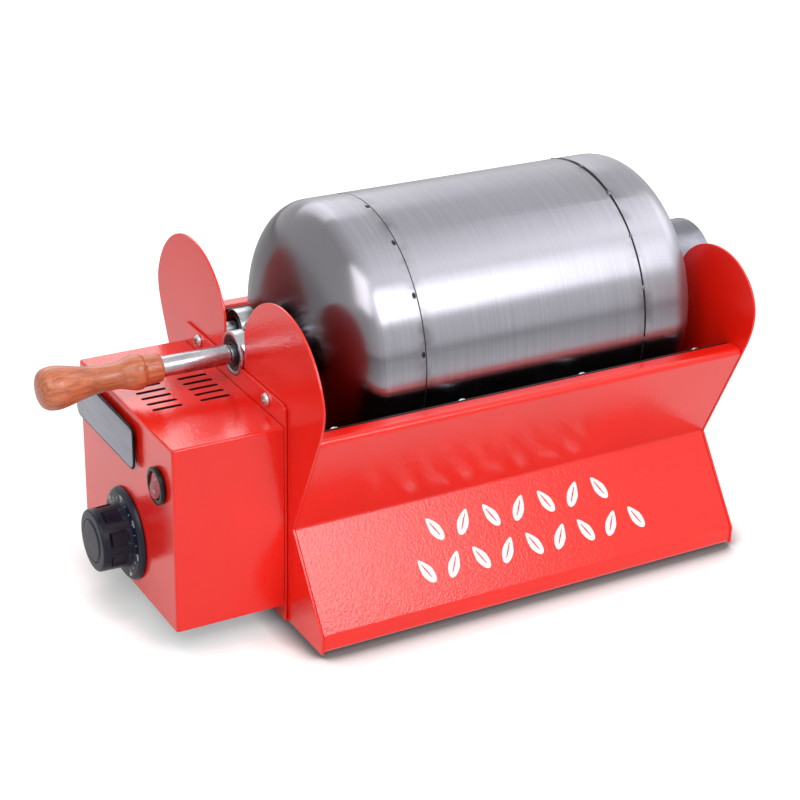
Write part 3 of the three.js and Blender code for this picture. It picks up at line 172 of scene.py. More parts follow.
# Control box: heights above the body's bottom edge, places across from the middle
VENT_LENGTH = 18.2
VENT_WIDTH = 2.8
VENT_PITCH = 8
VENTS = 5
VENT_GROUPS = (-48.5, -19.6)
BACK_PLATE_TOP = 135.6
BACK_PLATE_CORNER = 4
FLANGE_SCREW = (45.6, 130.6)
PINION_HEIGHT = 104.35
KNOB_HEIGHT = 41.1
KNOB_HOLE = 3.3
SWITCH = (-48.9, 94.4)
SWITCH_HOLE = 9.5
GLAND = (-56.5, 78)
GLAND_HOLE = 6.3
GLAND_HEXAGON = 9.5
GLAND_BORE = 4
GLAND_THREAD = 6
GLAND_DOME = 8
GLAND_RIBS = 16
CUT_PAST = 2
COVER_SOFTENING = 0.22
INSIDE_SHADE_DEPTH = 0.52
BEZEL_RADIUS = 10.8
BEZEL_DEPTH = 2.9
BARREL_RADIUS = 9.2
BADGE_CORNER = 5
BADGE_RIM = 1.2
BADGE_BACKING = (0.25, 1.4)
BADGE_FACE = 0.6
BADGE_PAD = 30
BADGE_PAD_RADIUS = 3
WINDOW_RADIUS = 7.9
WINDOW_DEPTH = 7.3
WINDOW_BEVEL = 0.6
ROCKER_RADIUS = 7.3
ROCKER_THICK = 5
ROCKER_SINK = 1.6
ROCKER_TILT = 0.12
ROCKER_BACK_SHARE = 0.75
ROCKER_MARK = 3.6
ROCKER_MARK_PLACE = 4

# Thermostat knob
SKIRT_RADIUS = 27.6
SKIRT_THICK = 3.6
SKIRT_BEVEL = (1.2, 2.8)
SKIRT_EDGE = 0.8
KNOB_RADIUS = 18.9
KNOB_FRONT_RADIUS = 18.3
KNOB_LENGTH = 21.8
KNOB_EDGE = 1.4
KNOB_FILLET = 0.6
KNOB_ROWS = 40
KNOB_STEPS = 240
KNOB_POCKETS = 8
POCKET_DEPTH = 1.9
POCKET_SHARE = 0.56
# Where a pocket fades in and out: from the front, from the skirt, and as shares of its half width
POCKET_FRONT = (4.6, 6.4)
POCKET_FOOT = (3, 1.6)
POCKET_SIDES = (0.8, 1.12)
CAP_RADIUS = 12.6
CAP_SINK = 0.9

# Marks on the knob's skirt
DIAL_TICKS = 19
DIAL_SWEEP = math.radians(300)
DIAL_LABELS = ("0", "50", "100", "150", "200", "250", "300")
TICK_RADII = (20.6, 21.9)
LABEL_RADIUS = 23.4
LABEL_HEIGHT = 2.9
INK_THICK = 0.05

# Turns between the way a section is drawn and the way it lies
ACROSS_UP_TO_YZ = Matrix(((0, 0, 1, 0), (1, 0, 0, 0), (0, 1, 0, 0), (0, 0, 0, 1)))
YZ_TO_XY = Matrix(((0, 1, 0, 0), (0, 0, 1, 0), (1, 0, 0, 0), (0, 0, 0, 1)))
YZ_TO_XZ = Matrix(((0, 1, 0, 0), (1, 0, 0, 0), (0, 0, 1, 0), (0, 0, 0, 1)))
TEXT_TO_FRONT = Matrix(((0, 0, -1, 0), (-1, 0, 0, 0), (0, 1, 0, 0), (0, 0, 0, 1)))


class RoasterColours(bpy.types.PropertyGroup):
    """Colours of the roaster's finishes, as sRGB hex codes."""

    coat: bpy.props.StringProperty(
        name="Powder coat", description="Colour of the red sheet metal", default="#ef1c0c")
    steel: bpy.props.StringProperty(
        name="Stainless", description="Colour of the brushed drum", default="#aaa9b2")
    bright: bpy.props.StringProperty(
        name="Bright steel", description="Colour of turned and plated parts", default="#bdbcc2")
    wood: bpy.props.StringProperty(
        name="Wood", description="Colour of the turned grip", default="#aa5b39")
    plastic: bpy.props.StringProperty(
        name="Plastic", description="Colour of knob and bezel", default="#131828")
    lens: bpy.props.StringProperty(
        name="Rocker", description="Colour of the lit rocker", default="#b80a1a")
    trough: bpy.props.StringProperty(
        name="Trough", description="Colour of the heat trough", default="#1b1718")
    print_ink: bpy.props.StringProperty(
        name="Ink", description="Colour of the printed marks", default="#f4f1f1")


class RoasterSizes(bpy.types.PropertyGroup):
    """Sizes of the details that only the dressed model has."""

    sheet_edge: bpy.props.FloatProperty(
        name="Sheet edge", description="Rounding of the coated sheet edges", default=0.35 * MM, unit="LENGTH")
    sheet_bend: bpy.props.FloatProperty(
        name="Sheet bend", description="Inner radius of the bends", default=1.5 * MM, unit="LENGTH")
    cover_edge: bpy.props.FloatProperty(
        name="Cover edge", description="Outer radius of the cover's edges", default=1.6 * MM, unit="LENGTH")
    cover_wall: bpy.props.FloatProperty(
        name="Cover wall", description="Sheet thickness of the box cover", default=1.2 * MM, unit="LENGTH")
    seam_groove: bpy.props.FloatProperty(
        name="Seam groove", description="Width of the groove at a drum seam", default=1.0 * MM, unit="LENGTH")
    tack_count: bpy.props.IntProperty(
        name="Tacks", description="Tack welds round the mouth-side seam", default=16, min=0)
    tack_radius: bpy.props.FloatProperty(
        name="Tack radius", description="Half width of one tack weld", default=1.3 * MM, unit="LENGTH")
    screw_head: bpy.props.FloatProperty(
        name="Screw head", description="Radius of the pan heads", default=3.7 * MM, unit="LENGTH")


class RoasterStage(bpy.types.PropertyGroup):
    """Light and floor."""

    floor_half: bpy.props.FloatProperty(
        name="Floor", description="Half the floor's side", default=6.0, unit="LENGTH")
    key_power: bpy.props.FloatProperty(
        name="Key lamp", description="Power of the key lamp in watts", default=17.0)
    fill_power: bpy.props.FloatProperty(
        name="Fill lamp", description="Power of the fill lamp in watts", default=12.0)
    glint_power: bpy.props.FloatProperty(
        name="Glint lamp", description="Power of the lamp that drum and panels mirror", default=2.8)
    world_level: bpy.props.FloatProperty(
        name="World", description="Strength of the soft sky light", default=0.62)


# Small helpers

# The kinds of node that most trees here use
MATH = "ShaderNodeMath"
VECTOR = "ShaderNodeVectorMath"
SPLIT = "ShaderNodeSeparateXYZ"
JOIN = "ShaderNodeCombineXYZ"
NOISE = "ShaderNodeTexNoise"
RANGE = "ShaderNodeMapRange"
MIX = "ShaderNodeMix"
BUMP = "ShaderNodeBump"
COPIES = "GeometryNodeInstanceOnPoints"
WHITE = (1, 1, 1, 1)


def linear(code):
    """Turns an sRGB hex colour into the linear RGBA that the shaders use."""
    parts = [int(code[i:i + 2], 16) / 255 for i in (1, 3, 5)]
    return tuple(p / 12.92 if p <= 0.04045 else ((p + 0.055) / 1.055) ** 2.4 for p in parts) + (1.0,)


def toned(code, factors, lift=0.0):
    """Gives a hex colour's linear RGBA, scaled by one factor or by one for each channel, and then lifted."""
    scales = factors if isinstance(factors, tuple) else (factors,) * 3
    return tuple(min(part * scale + lift, 1) for part, scale in zip(linear(code), scales)) + (1.0,)


def put(tree, kind, inputs=None, out=None, **settings):
    """Adds one node with its settings, values and links, and gives the node or the named output."""
    made = tree.nodes.new(kind)
    for name, value in settings.items():
        setattr(made, name, value)
    for key, value in (inputs or {}).items():
        if isinstance(value, bpy.types.NodeSocket):
            tree.links.new(value, made.inputs[key])
        else:
            made.inputs[key].default_value = value
    return made if out is None else made.outputs[out]


def finish(name, colour, **sockets):
    """Starts a material with one Principled shader and its plain values, and the point that patterns read."""
    made = bpy.data.materials.new(name)
    made.use_nodes = True
    tree = made.node_tree
    shader = tree.nodes["Principled BSDF"]
    shader.inputs["Base Color"].default_value = linear(colour)
    for key, value in sockets.items():
        shader.inputs[key.replace("_", " ").title().replace("Ior", "IOR")].default_value = value
    made.diffuse_color = linear(colour)
    return made, tree, shader, put(tree, "ShaderNodeTexCoord", out="Object")


def feed(tree, shader, socket, source):
    """Links a node's output into one of the shader's sockets."""
    tree.links.new(source, shader.inputs[socket])


def per_metre(millimetres):
    """Gives the texture scale that repeats a pattern at the given size."""
    return 1 / (millimetres * MM)


def stretched(tree, vector, scale, centre=(0, 0, 0)):
    """Scales a point per axis round a centre given in millimetres."""
    away = put(tree, VECTOR, {0: vector, 1: tuple(c * MM for c in centre)}, 0, operation="SUBTRACT")
    return put(tree, VECTOR, {0: away, 1: scale}, 0, operation="MULTIPLY")


def patches(tree, point, size, low, high, to_low=0.0, to_high=1.0, detail=2.0):
    """A noise with lumps of about the given size in millimetres, mapped to a range and held at its ends."""
    lumps = put(tree, NOISE, {"Vector": point, "Scale": per_metre(size), "Detail": detail}, "Fac")
    return put(tree, RANGE, {"Value": lumps, "From Min": low, "From Max": high, "To Min": to_low,
                             "To Max": to_high}, "Result")


def clouded(tree, shader, point, size, low, high, first, second, detail=2.0):
    """Colours the shader from the first colour to the second, in patches of about the given size."""
    share = patches(tree, point, size, low, high, detail=detail)
    feed(tree, shader, "Base Color", put(tree, MIX, {0: share, 6: first, 7: second}, 2, data_type="RGBA"))


def grained(tree, shader, point, size, strength, depth, detail=2.0, socket="Normal"):
    """Roughens the shader's normal with grains of about the given size and depth in millimetres."""
    grains = put(tree, NOISE, {"Vector": point, "Scale": per_metre(size), "Detail": detail}, "Fac")
    bump = put(tree, BUMP, {"Height": grains, "Strength": strength, "Distance": depth * MM}, "Normal")
    feed(tree, shader, socket, bump)


# Materials


def powder_coat(name, colour, peel=0.13):
    """Glossy polyester powder coat, baked on sheet steel: a clear mirror skin with orange peel over red."""
    made, tree, shader, point = finish(name, colour, roughness=0.3, specular_ior_level=0.15, coat_weight=1.0,
                                       coat_roughness=0.07, coat_ior=1.46)
    clouded(tree, shader, point, 60, 0.35, 0.65, toned(colour, 0.93), linear(colour))
    # Orange peel is about 1.2 mm across on such a coat; it is drawn 1.4 mm across so that it shows
    for socket, strength in (("Coat Normal", 1.0), ("Normal", 0.7)):
        grained(tree, shader, point, 1.4, strength, peel, 1.0, socket)
    return made


def brushed_drum(name, colour):
    """Stainless sheet, brushed round the drum: fine hoops that smear each highlight along the axis."""
    made, tree, shader, point = finish(name, colour, metallic=1.0, roughness=0.3, anisotropic=0.9)
    middle = stretched(tree, point, (1, 1, 1), (LEFT_FACE + (REAR_SEAM + FRONT_SEAM) / 2, 0, AXIS_HEIGHT))
    across = put(tree, SPLIT, {0: middle}, "X")
    flat = put(tree, VECTOR, {0: middle, 1: (0, 1, 1)}, 0, operation="MULTIPLY")
    radius = put(tree, VECTOR, {0: flat}, "Value", operation="LENGTH")
    # The way along the surface from the middle of the shell, over either dome
    end = put(tree, MATH, {0: across}, 0, operation="SIGN")
    inward = put(tree, MATH, {0: end, 1: radius}, 0, operation="MULTIPLY")
    reach = put(tree, MATH, {0: across, 1: inward}, 0, operation="SUBTRACT")
    # The grit lines run along the hoop, so a highlight spreads across them
    hoop = put(tree, VECTOR, {0: (1, 0, 0), 1: flat}, 0, operation="CROSS_PRODUCT")
    facing = put(tree, "ShaderNodeTexCoord", out="Normal")
    crossing = put(tree, VECTOR, {0: hoop, 1: facing}, 0, operation="CROSS_PRODUCT")
    unit = put(tree, VECTOR, {0: crossing}, 0, operation="NORMALIZE")
    feed(tree, shader, "Tangent", put(tree, "ShaderNodeVectorTransform", {0: unit}, 0, vector_type="VECTOR",
                                      convert_from="OBJECT", convert_to="WORLD"))
    # Real grit lines are 0.1 mm apart; they are drawn 0.8 mm apart so that they show
    lane = put(tree, MATH, {0: reach, 1: per_metre(0.8)}, 0, operation="MULTIPLY")
    # Each line fades in and out over about 60 mm of its hoop
    slow = put(tree, VECTOR, {0: flat, "Scale": per_metre(60)}, 0, operation="SCALE")
    drift = put(tree, SPLIT, {0: slow}).outputs
    lanes = put(tree, JOIN, {0: lane, 1: drift["Y"], 2: drift["Z"]}, 0)
    hoops = put(tree, NOISE, {"Vector": lanes, "Scale": 1.0, "Detail": 2.0}, "Fac")
    streaks = put(tree, RANGE, {"Value": hoops, "From Min": 0.3, "From Max": 0.7}, "Result")
    lined = put(tree, MIX, {0: streaks, 6: toned(colour, 0.86), 7: linear(colour)}, 2, data_type="RGBA")
    # The handle-side end was spun smooth, so it mirrors more sharply; its colour is darkened there as a
    # painted reflection of dark surroundings
    facing_along = put(tree, SPLIT, {0: facing}, "X")
    # spun weighs both the end's real smoothness and its painted dark reflection
    spun = put(tree, RANGE, {"Value": facing_along, "From Min": -0.15, "From Max": -0.6}, "Result")
    painted_dark_mirror = put(tree, MIX, {0: spun, 6: lined, 7: toned(colour, (0.5, 0.48, 0.47))}, 2, data_type="RGBA")
    # Welding left a patchy grey tint within about 7 mm of either seam
    outward = put(tree, MATH, {0: across}, 0, operation="ABSOLUTE")
    off_seam = put(tree, MATH, {0: outward, 1: (FRONT_SEAM - REAR_SEAM) / 2 * MM}, 0, operation="SUBTRACT")
    gap = put(tree, MATH, {0: off_seam}, 0, operation="ABSOLUTE")
    close = put(tree, RANGE, {"Value": gap, "From Min": 0.5 * MM, "From Max": 7 * MM, "To Min": 0.8,
                              "To Max": 0.0}, "Result")
    patchy = patches(tree, point, 14, 0.45, 0.68, detail=3.0)
    tint = put(tree, MATH, {0: close, 1: patchy}, 0, operation="MULTIPLY")
    burnt = toned(colour, (0.42, 0.39, 0.37))
    feed(tree, shader, "Base Color", put(tree, MIX, {0: tint, 6: painted_dark_mirror, 7: burnt}, 2, data_type="RGBA"))
    matt = patches(tree, point, 45, 0.3, 0.7, 0.27, 0.34, detail=3.0)
    feed(tree, shader, "Roughness", put(tree, MATH, {0: spun, 1: -0.1, 2: matt}, 0, operation="MULTIPLY_ADD"))
    bump = put(tree, BUMP, {"Height": hoops, "Strength": 0.1, "Distance": 0.02 * MM}, "Normal")
    feed(tree, shader, "Normal", bump)
    return made


def turned_steel(name, colour, roughness, ring=0.5, stained=0.72):
    """Free-cutting steel, turned on a lathe and left bright: very fine rings along its axis."""
    made, tree, shader, point = finish(name, colour, metallic=1.0, roughness=roughness)
    clouded(tree, shader, point, 9, 0.3, 0.6, toned(colour, stained), linear(colour), detail=4.0)
    matt = patches(tree, point, 9, 0.3, 0.7, roughness * 1.25, roughness * 0.8, detail=4.0)
    feed(tree, shader, "Roughness", matt)
    squeezed = stretched(tree, point, (per_metre(ring), per_metre(40), per_metre(40)))
    rings = put(tree, NOISE, {"Vector": squeezed, "Scale": 1.0, "Detail": 2.0}, "Fac")
    bump = put(tree, BUMP, {"Height": rings, "Strength": 0.25, "Distance": 0.02 * MM}, "Normal")
    feed(tree, shader, "Normal", bump)
    return made


def plated_steel(name, colour, roughness=0.28):
    """Steel with a bright zinc plating: soft mirror with a slight cloudiness."""
    made, tree, shader, point = finish(name, colour, metallic=1.0, roughness=roughness)
    matt = patches(tree, point, 3.5, 0.3, 0.7, roughness * 0.8, roughness * 1.3, detail=3.0)
    feed(tree, shader, "Roughness", matt)
    grained(tree, shader, point, 0.8, 0.15, 0.02)
    return made


def dark_steel(name, colour, roughness=0.45):
    """Steel blackened by oil and heat: dark, with a patchy satin shine."""
    made, tree, shader, point = finish(name, colour, metallic=0.85, roughness=roughness)
    clouded(tree, shader, point, 6, 0.5, 0.8, linear(colour), toned(colour, 2.2, 0.02), detail=4.0)
    grained(tree, shader, point, 0.6, 0.3, 0.03)
    return made


def trough_black(name, colour):
    """High-temperature stove enamel, sprayed and baked: near black, half gloss, with a fine spray grain."""
    made, tree, shader, point = finish(name, colour, roughness=0.38)
    clouded(tree, shader, point, 25, 0.45, 0.8, linear(colour), toned(colour, 1.9, 0.004), detail=4.0)
    feed(tree, shader, "Roughness", patches(tree, point, 25, 0.3, 0.7, 0.3, 0.5, detail=4.0))
    grained(tree, shader, point, 0.9, 0.3, 0.03)
    return made


def lacquered_wood(name, colour):
    """Sapele-like hardwood, turned and lacquered: reddish brown, grain along the grip, dark pore flecks."""
    made, tree, shader, point = finish(name, colour, roughness=0.36, coat_weight=0.35, coat_roughness=0.22)
    point = stretched(tree, point, (1, 1, 1), (0, 0, AXIS_HEIGHT))
    sway = put(tree, NOISE, {"Vector": point, "Scale": per_metre(30), "Detail": 1.0}, "Fac")
    # Growth bands are about 2 mm wide across the grip and run along it
    along = stretched(tree, point, (per_metre(70), per_metre(1.9), per_metre(1.9)))
    bent = put(tree, VECTOR, {0: along, 1: (0, 1.6, 0.7)}, 0, operation="ADD")
    swayed = put(tree, VECTOR, {0: put(tree, JOIN, {1: sway, 2: sway}, 0), 1: (2.2, 2.2, 2.2), 2: bent}, 0,
                 operation="MULTIPLY_ADD")
    bands = put(tree, NOISE, {"Vector": swayed, "Scale": 1.0, "Detail": 3.0}, "Fac")
    flecked = stretched(tree, point, (per_metre(5), per_metre(0.45), per_metre(0.45)))
    pores = put(tree, NOISE, {"Vector": flecked, "Scale": 1.0, "Detail": 2.0}, "Fac")
    banded = put(tree, RANGE, {"Value": bands, "From Min": 0.36, "From Max": 0.62}, "Result")
    pale, dark = toned(colour, (1.5, 1.65, 1.75)), toned(colour, (0.72, 0.5, 0.42))
    body = put(tree, MIX, {0: banded, 6: linear(colour), 7: pale}, 2, data_type="RGBA")
    fleck = put(tree, RANGE, {"Value": pores, "From Min": 0.58, "From Max": 0.7}, "Result")
    feed(tree, shader, "Base Color", put(tree, MIX, {0: fleck, 6: body, 7: dark}, 2, data_type="RGBA"))
    bump = put(tree, BUMP, {"Height": pores, "Strength": 0.2, "Distance": -0.04 * MM}, "Normal")
    feed(tree, shader, "Normal", bump)
    return made


def moulded_abs(name, colour, roughness=0.3):
    """Injection-moulded ABS: deep black with a soft shine and a very fine spark-eroded grain."""
    made, tree, shader, point = finish(name, colour, roughness=roughness, specular_ior_level=0.28)
    matt = patches(tree, point, 12, 0.3, 0.7, roughness * 0.85, roughness * 1.2, detail=3.0)
    feed(tree, shader, "Roughness", matt)
    grained(tree, shader, point, 0.7, 0.12, 0.02)
    return made


def moulded_rubber(name, colour):
    """Moulded nitrile rubber: matt black with a faint bloom."""
    made, tree, shader, point = finish(name, colour, roughness=0.75)
    clouded(tree, shader, point, 5, 0.5, 0.9, linear(colour), toned(colour, 2, 0.01), detail=4.0)
    grained(tree, shader, point, 0.5, 0.4, 0.03)
    return made


def clear_red(name, colour):
    """Tinted polycarbonate with a polished face: saturated red with depth and a wet highlight."""
    made, tree, shader, point = finish(name, colour, roughness=0.1, specular_ior_level=0.3, coat_weight=0.2,
                                       coat_roughness=0.03)
    clouded(tree, shader, point, 4, 0.35, 0.65, toned(colour, 0.45), linear(colour))
    return made


def printed_ink(name, colour):
    """Screen-printed epoxy ink: flat colour with a slight texture, less glossy than the coat under it."""
    made, tree, shader, point = finish(name, colour, roughness=0.35)
    clouded(tree, shader, point, 1.2, 0.3, 0.55, toned(colour, 0.82), linear(colour), detail=3.0)
    return made


def glazed_ceramic(name, colour):
    """Steatite, pressed and fired: off-white with a dull glaze."""
    made, tree, shader, point = finish(name, colour, roughness=0.4)
    feed(tree, shader, "Roughness", patches(tree, point, 1.5, 0.3, 0.7, 0.3, 0.55, detail=3.0))
    return made


def welded_steel(name, colour):
    """Stainless weld left as it was: grey-brown heat tint with a rough rippled skin."""
    made, tree, shader, point = finish(name, colour, metallic=0.8, roughness=0.5)
    clouded(tree, shader, point, 2.5, 0.35, 0.65, linear("#3b3230"), linear(colour), detail=3.0)
    grained(tree, shader, point, 0.7, 0.8, 0.15, detail=3.0)
    return made


def brushed_badge(name, colour):
    """Aluminium plate, brushed along its length and clear anodised: silver with straight fine lines."""
    made, tree, shader, point = finish(name, colour, metallic=1.0, roughness=0.3)
    squeezed = stretched(tree, point, (per_metre(4), per_metre(30), per_metre(0.5)))
    lines = put(tree, NOISE, {"Vector": squeezed, "Scale": 1.0, "Detail": 3.0}, "Fac")
    streaks = put(tree, RANGE, {"Value": lines, "From Min": 0.3, "From Max": 0.6}, "Result")
    lined = put(tree, MIX, {0: streaks, 6: toned(colour, 0.75), 7: linear(colour)}, 2, data_type="RGBA")
    feed(tree, shader, "Base Color", lined)
    bump = put(tree, BUMP, {"Height": lines, "Strength": 0.3, "Distance": 0.02 * MM}, "Normal")
    feed(tree, shader, "Normal", bump)
    return made


finishes = {}


def make_finishes(colours):
    """Makes each finish once, from the colours that the user may change."""
    finishes.update(
        coat=powder_coat("red_powder_coat", colours.coat),
        drum=brushed_drum("brushed_stainless", colours.steel),
        neck=turned_steel("spun_stainless", "#7d7d86", 0.3, 0.9, 0.9),
        rod=turned_steel("turned_bright_steel", colours.bright, 0.24),
        ring=turned_steel("ground_bearing_steel", "#b9babd", 0.2, 0.4),
        plated=plated_steel("zinc_plated_steel", "#d4d5d6"),
        sheet=plated_steel("galvanised_sheet", "#9da1a6", 0.42),
        dark=dark_steel("oil_blacked_steel", "#35363a"),
        tube=dark_steel("annealed_heater_tube", "#474240", 0.5),
        weld=welded_steel("heat_tinted_weld", "#8f8a8a"),
        # The groove finish is painted shade in the seams, and the real burn of the spot-weld pits
        groove=dark_steel("seam_shade_and_weld_burn", "#2b292a", 0.6),
        bronze=turned_steel("sintered_bronze", "#a9793f", 0.4),
        trough=trough_black("baked_stove_enamel", colours.trough),
        wood=lacquered_wood("lacquered_hardwood", colours.wood),
        plastic=moulded_abs("moulded_black_abs", colours.plastic),
        bezel=moulded_abs("polished_black_abs", "#101014", 0.16),
        rubber=moulded_rubber("moulded_rubber", "#151515"),
        lens=clear_red("clear_red_polycarbonate", colours.lens),
        ink=printed_ink("white_printed_ink", colours.print_ink),
        ceramic=glazed_ceramic("fired_steatite", "#ddd6c6"),
        badge=brushed_badge("brushed_aluminium", "#a3a4b0"),
        # The dark badge edge is painted shade beside the plate
        badge_rim=dark_steel("badge_edge_painted_shade", "#1c1c20", 0.4),
    )


# Shapes


def at(along, across=0.0, up=0.0):
    """Turns a place counted from the left end plate and the body's bottom edge into the model's frame."""
    return Vector((LEFT_FACE + along, across, BODY_BOTTOM + up))


def on_axis(along):
    """A place on the drum's axis, counted from the left end plate."""
    return Vector((LEFT_FACE + along, 0, AXIS_HEIGHT))


def evaluated(item):
    """Gives the mesh that an object has with its modifiers."""
    return bpy.data.meshes.new_from_object(item.evaluated_get(bpy.context.evaluated_depsgraph_get()))


def on_bench(data, name="workpiece"):
    """Puts data in the scene as an object."""
    item = bpy.data.objects.new(name, data)
    bpy.context.scene.collection.objects.link(item)
    return item


def off_bench(*items):
    """Clears working objects away."""
    for item in items:
        bpy.data.objects.remove(item)


def worked(data, *steps):
    """Gives a mesh or curve its modifiers in order, and returns the finished mesh."""
    item = on_bench(data)
    for kind, settings in steps:
        modifier = item.modifiers.new(kind.lower(), kind)
        for name, value in settings.items():
            setattr(modifier, name, value)
    made = evaluated(item)
    off_bench(item)
    return made


def rounding(width, segments=2, angle=40):
    """Settings of a bevel that rounds the sharp edges of a mesh in millimetres."""
    return "BEVEL", {
        "width": width, "segments": segments, "limit_method": "ANGLE", "angle_limit": math.radians(angle)}


def cut_from(mesh, *tools, operation="DIFFERENCE"):
    """Takes each tool mesh out of a mesh, or keeps what they share."""
    cutters = [on_bench(tool) for tool in tools]
    made = worked(mesh, *[("BOOLEAN", {"object": cutter, "operation": operation, "solver": "EXACT"})
                          for cutter in cutters])
    off_bench(*cutters)
    return made


def cleaned(mesh, outwards=True):
    """Merges doubled corners and turns every face outwards."""
    work = bmesh.new()
    work.from_mesh(mesh)
    bmesh.ops.remove_doubles(work, verts=work.verts, dist=0.0005)
    bmesh.ops.dissolve_degenerate(work, edges=work.edges, dist=0.0001)
    if outwards:
        bmesh.ops.recalc_face_normals(work, faces=work.faces)
    work.to_mesh(mesh)
    work.free()
    return mesh


def joined(*meshes):
    """Puts several meshes in one; their material slots are kept in order."""
    work = bmesh.new()
    materials = []
    for mesh in meshes:
        start = len(work.faces)
        work.from_mesh(mesh)
        work.faces.ensure_lookup_table()
        own = list(mesh.materials) or [None]
        base = len(materials)
        for face in work.faces[start:]:
            face.material_index = base + min(face.material_index, len(own) - 1)
        materials.extend(own)
    made = bpy.data.meshes.new("joined")
    work.to_mesh(made)
    work.free()
    for material in materials:
        made.materials.append(material)
    return made


def painted(mesh, *materials):
    """Gives a mesh its material slots."""
    mesh.materials.clear()
    for material in materials:
        mesh.materials.append(material)
    return mesh


def moved(mesh, *transforms):
    """Applies matrices to a mesh in order."""
    for transform in transforms:
        mesh.transform(transform)
    return mesh


def shift(place):
    """Gives the matrix that moves by a place."""
    return Matrix.Translation(place)


def turn(angle, axis):
    """Gives the matrix that turns round an axis."""
    return Matrix.Rotation(angle, 4, axis)


def finished(name, mesh, body, replaced=(), sharp=34, sheet=False):
    """Scales a mesh from millimetres, shades it, and hands it to the frame as a piece.

    On sheet metal the large flats rule the shading, so they mirror as flats between their bends.
    """
    mesh.transform(Matrix.Scale(MM, 4))
    mesh.shade_smooth()
    mesh.set_sharp_from_angle(angle=math.radians(sharp))
    if sheet:
        mesh = worked(mesh, ("WEIGHTED_NORMAL", {"keep_sharp": True}))
    mesh.name = name
    piece = on_bench(mesh, name)
    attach(piece, body)
    if replaced:
        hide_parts(*replaced)


def coated(name, mesh, node):
    """Hands a coated sheet of the stand to the frame, in place of its CAD node."""
    finished(name, painted(mesh, finishes["coat"]), "stand", [node], sheet=True)


def turned(profile, steps=96, centre=(0, 0, 0)):
    """Turns a profile of (along, radius) points round the X axis.

    A profile that doesn't start and end on the axis is closed on itself.
    """
    points, rows, faces = [], [], []
    for along, radius in profile:
        if radius == 0:
            rows.append([len(points)])
            points.append((along, 0, 0))
            continue
        rows.append(range(len(points), len(points) + steps))
        for i in range(steps):
            angle = FULL_TURN * i / steps
            points.append((along, radius * math.sin(angle), radius * math.cos(angle)))
    pairs = list(zip(rows, rows[1:]))
    if profile[0][1] or profile[-1][1]:
        pairs.append((rows[-1], rows[0]))
    for first, second in pairs:
        for i in range(steps):
            k = (i + 1) % steps
            # A row that is one corner on the axis gives a triangle
            loop = list(dict.fromkeys((first[i % len(first)], first[k % len(first)],
                                       second[k % len(second)], second[i % len(second)])))
            if len(loop) > 2:
                faces.append(loop)
    mesh = bpy.data.meshes.new("turned")
    mesh.from_pydata(points, [], faces)
    return moved(cleaned(mesh), shift(centre))


def softened(points, radius, steps=3, loop=True):
    """Rounds the corners of a profile or outline. A corner on the axis, with a second value of 0, stays."""
    made = []
    count = len(points)
    for i, point in enumerate(points):
        if not loop and i in (0, count - 1):
            made.append(tuple(point))
            continue
        here = Vector(point)
        before = here - Vector(points[i - 1])
        after = Vector(points[(i + 1) % count]) - here
        if before.length < 1e-6 or after.length < 1e-6:
            continue
        bend = before.angle(after)
        if bend < math.radians(18) or not point[1]:
            made.append(tuple(point))
            continue
        reach = min(radius * math.tan(bend / 2), before.length * 0.45, after.length * 0.45)
        start = here - before.normalized() * reach
        end = here + after.normalized() * reach
        for k in range(steps + 1):
            share = k / steps
            made.append(tuple(start.lerp(here, share).lerp(here.lerp(end, share), share)))
    return made


def section_of(node, centre, axis=0):
    """Reads the half section of a turned CAD node as ordered (along, radius) points in millimetres."""
    work = bmesh.new()
    work.from_mesh(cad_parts[node].data)
    bmesh.ops.remove_doubles(work, verts=work.verts, dist=2e-6)
    side, top = [k for k in range(3) if k != axis]
    places = {}
    for corner in work.verts:
        local = corner.co / MM - centre
        reach = math.hypot(local[side], local[top])
        places[corner.index] = (local[axis], reach, math.atan2(local[top], local[side]))
    outer = max(places.values(), key=lambda p: p[1])
    chosen = {}
    for index, (along, reach, angle) in places.items():
        if reach < 0.01:
            chosen[index] = (along, 0.0)
        elif abs((angle - outer[2] + math.pi) % FULL_TURN - math.pi) < 0.01:
            chosen[index] = (along, reach)
    links = {index: set() for index in chosen}
    for edge in work.edges:
        a, b = (corner.index for corner in edge.verts)
        if a in chosen and b in chosen:
            links[a].add(b)
            links[b].add(a)
    work.free()
    # A flat end face can lack its radial edge, or the corner at its middle
    loose = sorted((i for i in links if len(links[i]) == 1 and chosen[i][1]), key=lambda i: chosen[i])
    while loose:
        first = loose.pop(0)
        partner = next((i for i in loose if abs(chosen[i][0] - chosen[first][0]) < 0.01), None)
        if partner is None:
            partner = -1 - len(chosen)
            chosen[partner] = (chosen[first][0], 0.0)
            links[partner] = set()
        else:
            loose.remove(partner)
        links[first].add(partner)
        links[partner].add(first)
    ends = [i for i in links if chosen[i][1] == 0]
    here = ends[0] if ends else next(iter(links))
    order, seen = [], set()
    while here is not None and here not in seen:
        seen.add(here)
        order.append(chosen[here])
        here = next((i for i in links[here] if i not in seen), None)
    return order


def respun(node, steps=96, edge=0.25, axis=0):
    """Turns a CAD node's own section again, in fine steps and with softened corners."""
    centre = centre_of(node)
    centre[axis] = 0
    section = softened(section_of(node, centre, axis), edge)
    mesh = turned(section, steps)
    upright = {0: Matrix(), 1: turn(QUARTER, "Z"), 2: turn(-QUARTER, "Y")}[axis]
    return moved(mesh, upright, shift(centre))


